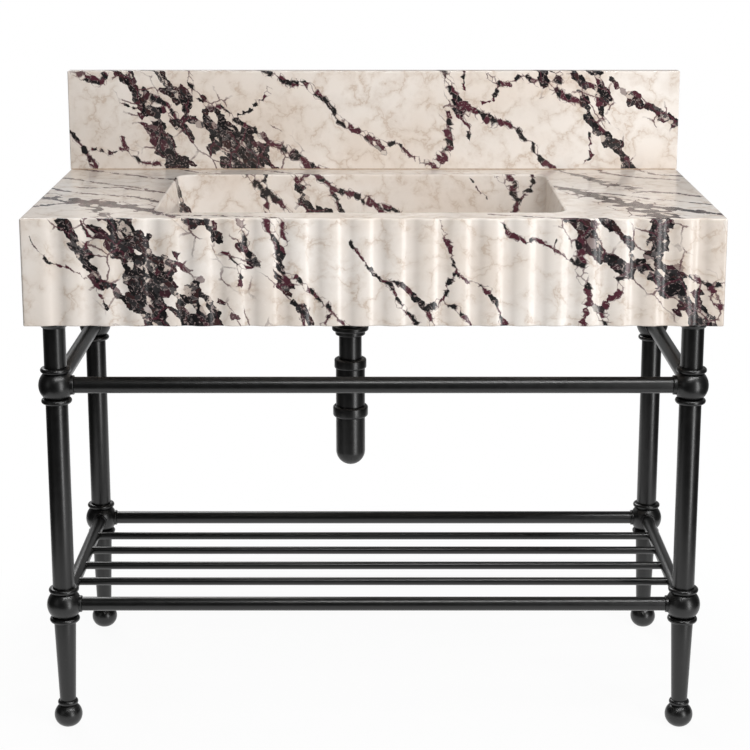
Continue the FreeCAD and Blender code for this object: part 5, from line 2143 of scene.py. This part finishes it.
    def make_trap(self) -> None:
        """Make the trap's top nut, body, outlet, cup and union nut."""
        low, high, radius = self.span("trap_top_nut")
        outline = nut(radius, self.tube + self.play, self.throat + self.play, (high, low), self.lip,
                      (self.inner_round, self.crown_round, self.nut_round, 0.0))
        self.upright("trap_collar_nut", outline, "trap_top_nut")
        self.make_body(low)
        self.make_outlet()
        low, high, radius = self.span("trap_cup")
        centre = (0, low + self.cup)
        inner, shelf = self.cup - self.cup_wall, high - self.flange
        outline = arc(centre, self.cup, -90, 0, self.cup_steps[0])
        outline += [(self.cup, shelf), (radius, shelf), (radius, high), (inner, high)]
        outline += arc(centre, inner, 0, -90, self.cup_steps[1])
        self.upright("trap_bottle", outline, "trap_cup", "trap_cup")
        low, high, radius = self.span("trap_union_nut")
        outline = nut(radius, self.cup + self.cup_play, self.thread + self.play, (low, high), self.lip,
                      (self.edge_round, self.union_round, self.union_round, self.edge_round))
        self.upright("trap_union_ring", outline, "trap_union_nut", "trap_nut")
        dress("trap_seal", self.finishes.rubber)

    def make_body(self, top: float) -> None:
        """Make the trap's body with the boss that takes the outlet.

        Args:
            top: Height of the shoulder under the top nut.
        """
        low, high, _ = self.span("trap_body")
        step = low + self.thread_height
        outline = soften([(0, low), (self.thread, low, self.edge_round), (self.thread, step, self.edge_round),
                          (self.body, step), (self.body, top, self.body_round), (self.throat, top),
                          (self.throat, high), (0, high)])
        boss = soften([(0, self.boss_root), (self.boss, self.boss_root),
                       (self.boss, self.boss_reach, self.edge_round), (0, self.boss_reach)])
        shell = turned("trap_body", outline, self.place, self.segments)
        mesh = united(shell, turned("boss", boss, self.outlet_place))
        self.metal("trap_housing", mesh, "trap_body")

    def make_outlet(self) -> None:
        """Make the tube back to the wall and its nut."""
        start = self.outlet_place.translation.y
        box = Box.of("outlet_nut")
        front, back = box.low.y - start, box.high.y - start
        narrow = self.outlet - self.swage
        outline = nut(box.half.x, narrow + self.swage_play, self.boss + self.play, (back, front), self.lip,
                      (0.0, self.nut_round, self.nut_round, 0.0))
        mesh = turned("outlet_nut", outline, self.outlet_place, self.ring_segments)
        self.metal("outlet_ring", mesh, "outlet_nut")
        tube = Box.of("outlet_tube")
        front, end = tube.low.y - start, tube.high.y - start
        bore, step = self.outlet - self.outlet_wall, back + self.swage_play
        outline = soften([(bore, front), (narrow, front), (narrow, step),
                          (self.outlet, step, self.swage_round), (self.outlet, end), (bore, end)])
        self.metal("outlet_pipe", turned("outlet_tube", outline, self.outlet_place), "outlet_tube")

    def build(self) -> None:
        """Make all the pieces of the drain."""
        self.make_plug()
        self.make_tail()
        self.make_trap()
        dress("waste_body", self.finishes.black)
        dress("back_nut", self.finishes.black)
        dress("waste_seal", self.finishes.rubber)


# Studio


@dataclass(frozen=True)
class Lamp:
    """A soft rectangular lamp.

    Attributes:
        name: Name of the lamp.
        place: Where it hangs.
        aim: Point that it faces.
        size: Its width and height.
        power: Its power in watts.
    """

    name: str
    place: Triple
    aim: Triple
    size: Point
    power: float

    def hang(self) -> None:
        """Put the lamp in the scene."""
        data = bpy.data.lights.new(self.name, "AREA")
        data.shape = "RECTANGLE"
        data.size, data.size_y = self.size
        data.energy = self.power
        lamp = placed(self.name, data)
        lamp.location = self.place
        lamp.rotation_euler = (Vector(self.aim) - Vector(self.place)).to_track_quat("-Z", "Y").to_euler()


@dataclass
class Studio:
    """Pale floor, soft lamps, white surround and the camera.

    Attributes:
        eye: Place of the camera.
        pitch: How far the camera looks down, in degrees.
        sensor: Width of the camera's sensor in millimetres.
        lens: Focal length in millimetres.
        lift: Shift of the picture.
        sight: How far the camera sees.
        floor_half: Half the floor's width.
        floor_ends: Where the floor ends in front and at the back.
        paper: Shades of the floor.
        floor_fade: Distances between which the floor fades to white, and the share of white there.
        ambient: Strength of the even light from all sides.
        room: Strength of the room in front, as the metal mirrors it.
        mirrored: Strength of the white behind the sink, as the metal mirrors it.
        turn: Where the room turns to the white behind, as the Y of a direction.
        lamps: The lamps. The key is far off, so that the flutes are lit alike.
    """

    eye: Triple = (0.0025, -3.308, 1.453)
    pitch: float = 12.564
    sensor: float = 36.0
    lens: float = 90.28
    lift: float = -0.10
    sight: float = 100.0
    floor_half: float = 1.2
    floor_ends: Point = (-0.95, 3.0)
    paper: Point = (0.86, 0.88)
    floor_fade: tuple[float, ...] = (0.6, 0.95, 0.94, 1.0)
    ambient: float = 0.12
    room: float = 0.04
    mirrored: float = 0.3
    turn: Point = (0.25, 0.8)
    lamps: tuple[Lamp, ...] = (
        Lamp("key", (4.5, -5.6, 0.9), (0, -0.2, 0.8), (1.6, 7.2), 294.0),
        Lamp("fill", (-2.6, -2.2, 1.4), (0, 0, 0.7), (1.0, 1.8), 3.0),
        Lamp("top", (0.8, -1.5, 2.7), (0, 0, 0.95), (3.0, 0.18), 54.0),
        Lamp("rear", (-1.6, 3.4, 3.3), (0, 0.3, 0.8), (2.4, 1.6), 92.0))

    def make_camera(self) -> None:
        """Place the camera at the photograph's angle."""
        camera = placed("camera", bpy.data.cameras.new("camera"))
        camera.location = self.eye
        camera.rotation_euler = (math.radians(90 - self.pitch), 0, 0)
        camera.data.sensor_width = self.sensor
        camera.data.lens = self.lens
        camera.data.shift_y = self.lift
        camera.data.clip_end = self.sight
        bpy.context.scene.camera = camera

    def seen(self, wiring: Wiring, path: Sockets) -> Socket:
        """Find the camera, glossy and transmission rays, which show the background as it is."""
        mirrored = wiring.math("MAXIMUM", path["Is Glossy Ray"], path["Is Transmission Ray"])
        return wiring.math("MAXIMUM", path["Is Camera Ray"], mirrored)

    def make_world(self) -> None:
        """Surround the scene with white behind the sink, and a dimmer room in front that lights it."""
        world = bpy.data.worlds.new("studio")
        bpy.context.scene.world = world
        world.use_nodes = True
        wiring = Wiring(world.node_tree)
        way = wiring.parts(wiring.node("ShaderNodeTexCoord").outputs["Generated"])
        path = wiring.node("ShaderNodeLightPath").outputs
        behind = wiring.ramp(way["Y"], *self.turn, self.room, self.mirrored)
        shown = wiring.math("MULTIPLY", wiring.math("MAXIMUM", behind, path["Is Camera Ray"]),
                            self.seen(wiring, path))
        diffuse = wiring.math("MULTIPLY", path["Is Diffuse Ray"], self.ambient)
        background = world.node_tree.nodes["Background"].inputs
        wiring.feed(background["Color"], (1, 1, 1, 1))
        wiring.feed(background["Strength"], wiring.math("MAXIMUM", shown, diffuse))

    def paper_finish(self) -> Material:
        """Make the floor's finish, which fades to white far away.

        Returns:
            The new material.
        """
        made, wiring, shader, place = new_material("floor_paper")
        made.node_tree.nodes.remove(shader)
        dark, light = ((shade, shade, shade) for shade in self.paper)
        colour = wiring.blend(wiring.noise(place, Noise.PAPER.value), dark, light)
        paper = wiring.node("ShaderNodeBsdfDiffuse", {"Color": colour})
        white = wiring.node("ShaderNodeEmission", {"Strength": 1.0})
        far = wiring.ramp(wiring.vector("LENGTH", place), *self.floor_fade)
        share = wiring.math("MULTIPLY", far, self.seen(wiring, wiring.node("ShaderNodeLightPath").outputs))
        mixed = wiring.node("ShaderNodeMixShader", {0: share, 1: paper.outputs[0], 2: white.outputs[0]})
        wiring.feed(made.node_tree.nodes["Material Output"].inputs["Surface"], mixed.outputs[0])
        return made

    def make_floor(self) -> None:
        """Lay the pale floor, which takes the shadow."""
        half = self.floor_half
        front, back = self.floor_ends
        bm = bmesh.new()
        bm.faces.new(loop_at(bm, [(-half, front), (half, front), (half, back), (-half, back)], 0))
        mesh = to_mesh(bm, "floor")
        paint(mesh, self.paper_finish())
        placed("floor", mesh)

    def build(self) -> None:
        """Set up the whole studio."""
        bpy.context.scene.view_settings.view_transform = "Standard"
        self.make_camera()
        self.make_world()
        self.make_floor()
        for lamp in self.lamps:
            lamp.hang()


def main() -> None:
    """Build the studio and the sink, and report each piece."""
    logging.basicConfig(level=logging.INFO, format="%(message)s")
    Studio().build()
    finishes = Finishes()
    MarbleBlock(finishes).build()
    Stand(finishes).build()
    Drain(finishes).build()


if __name__ == "__main__":
    main()
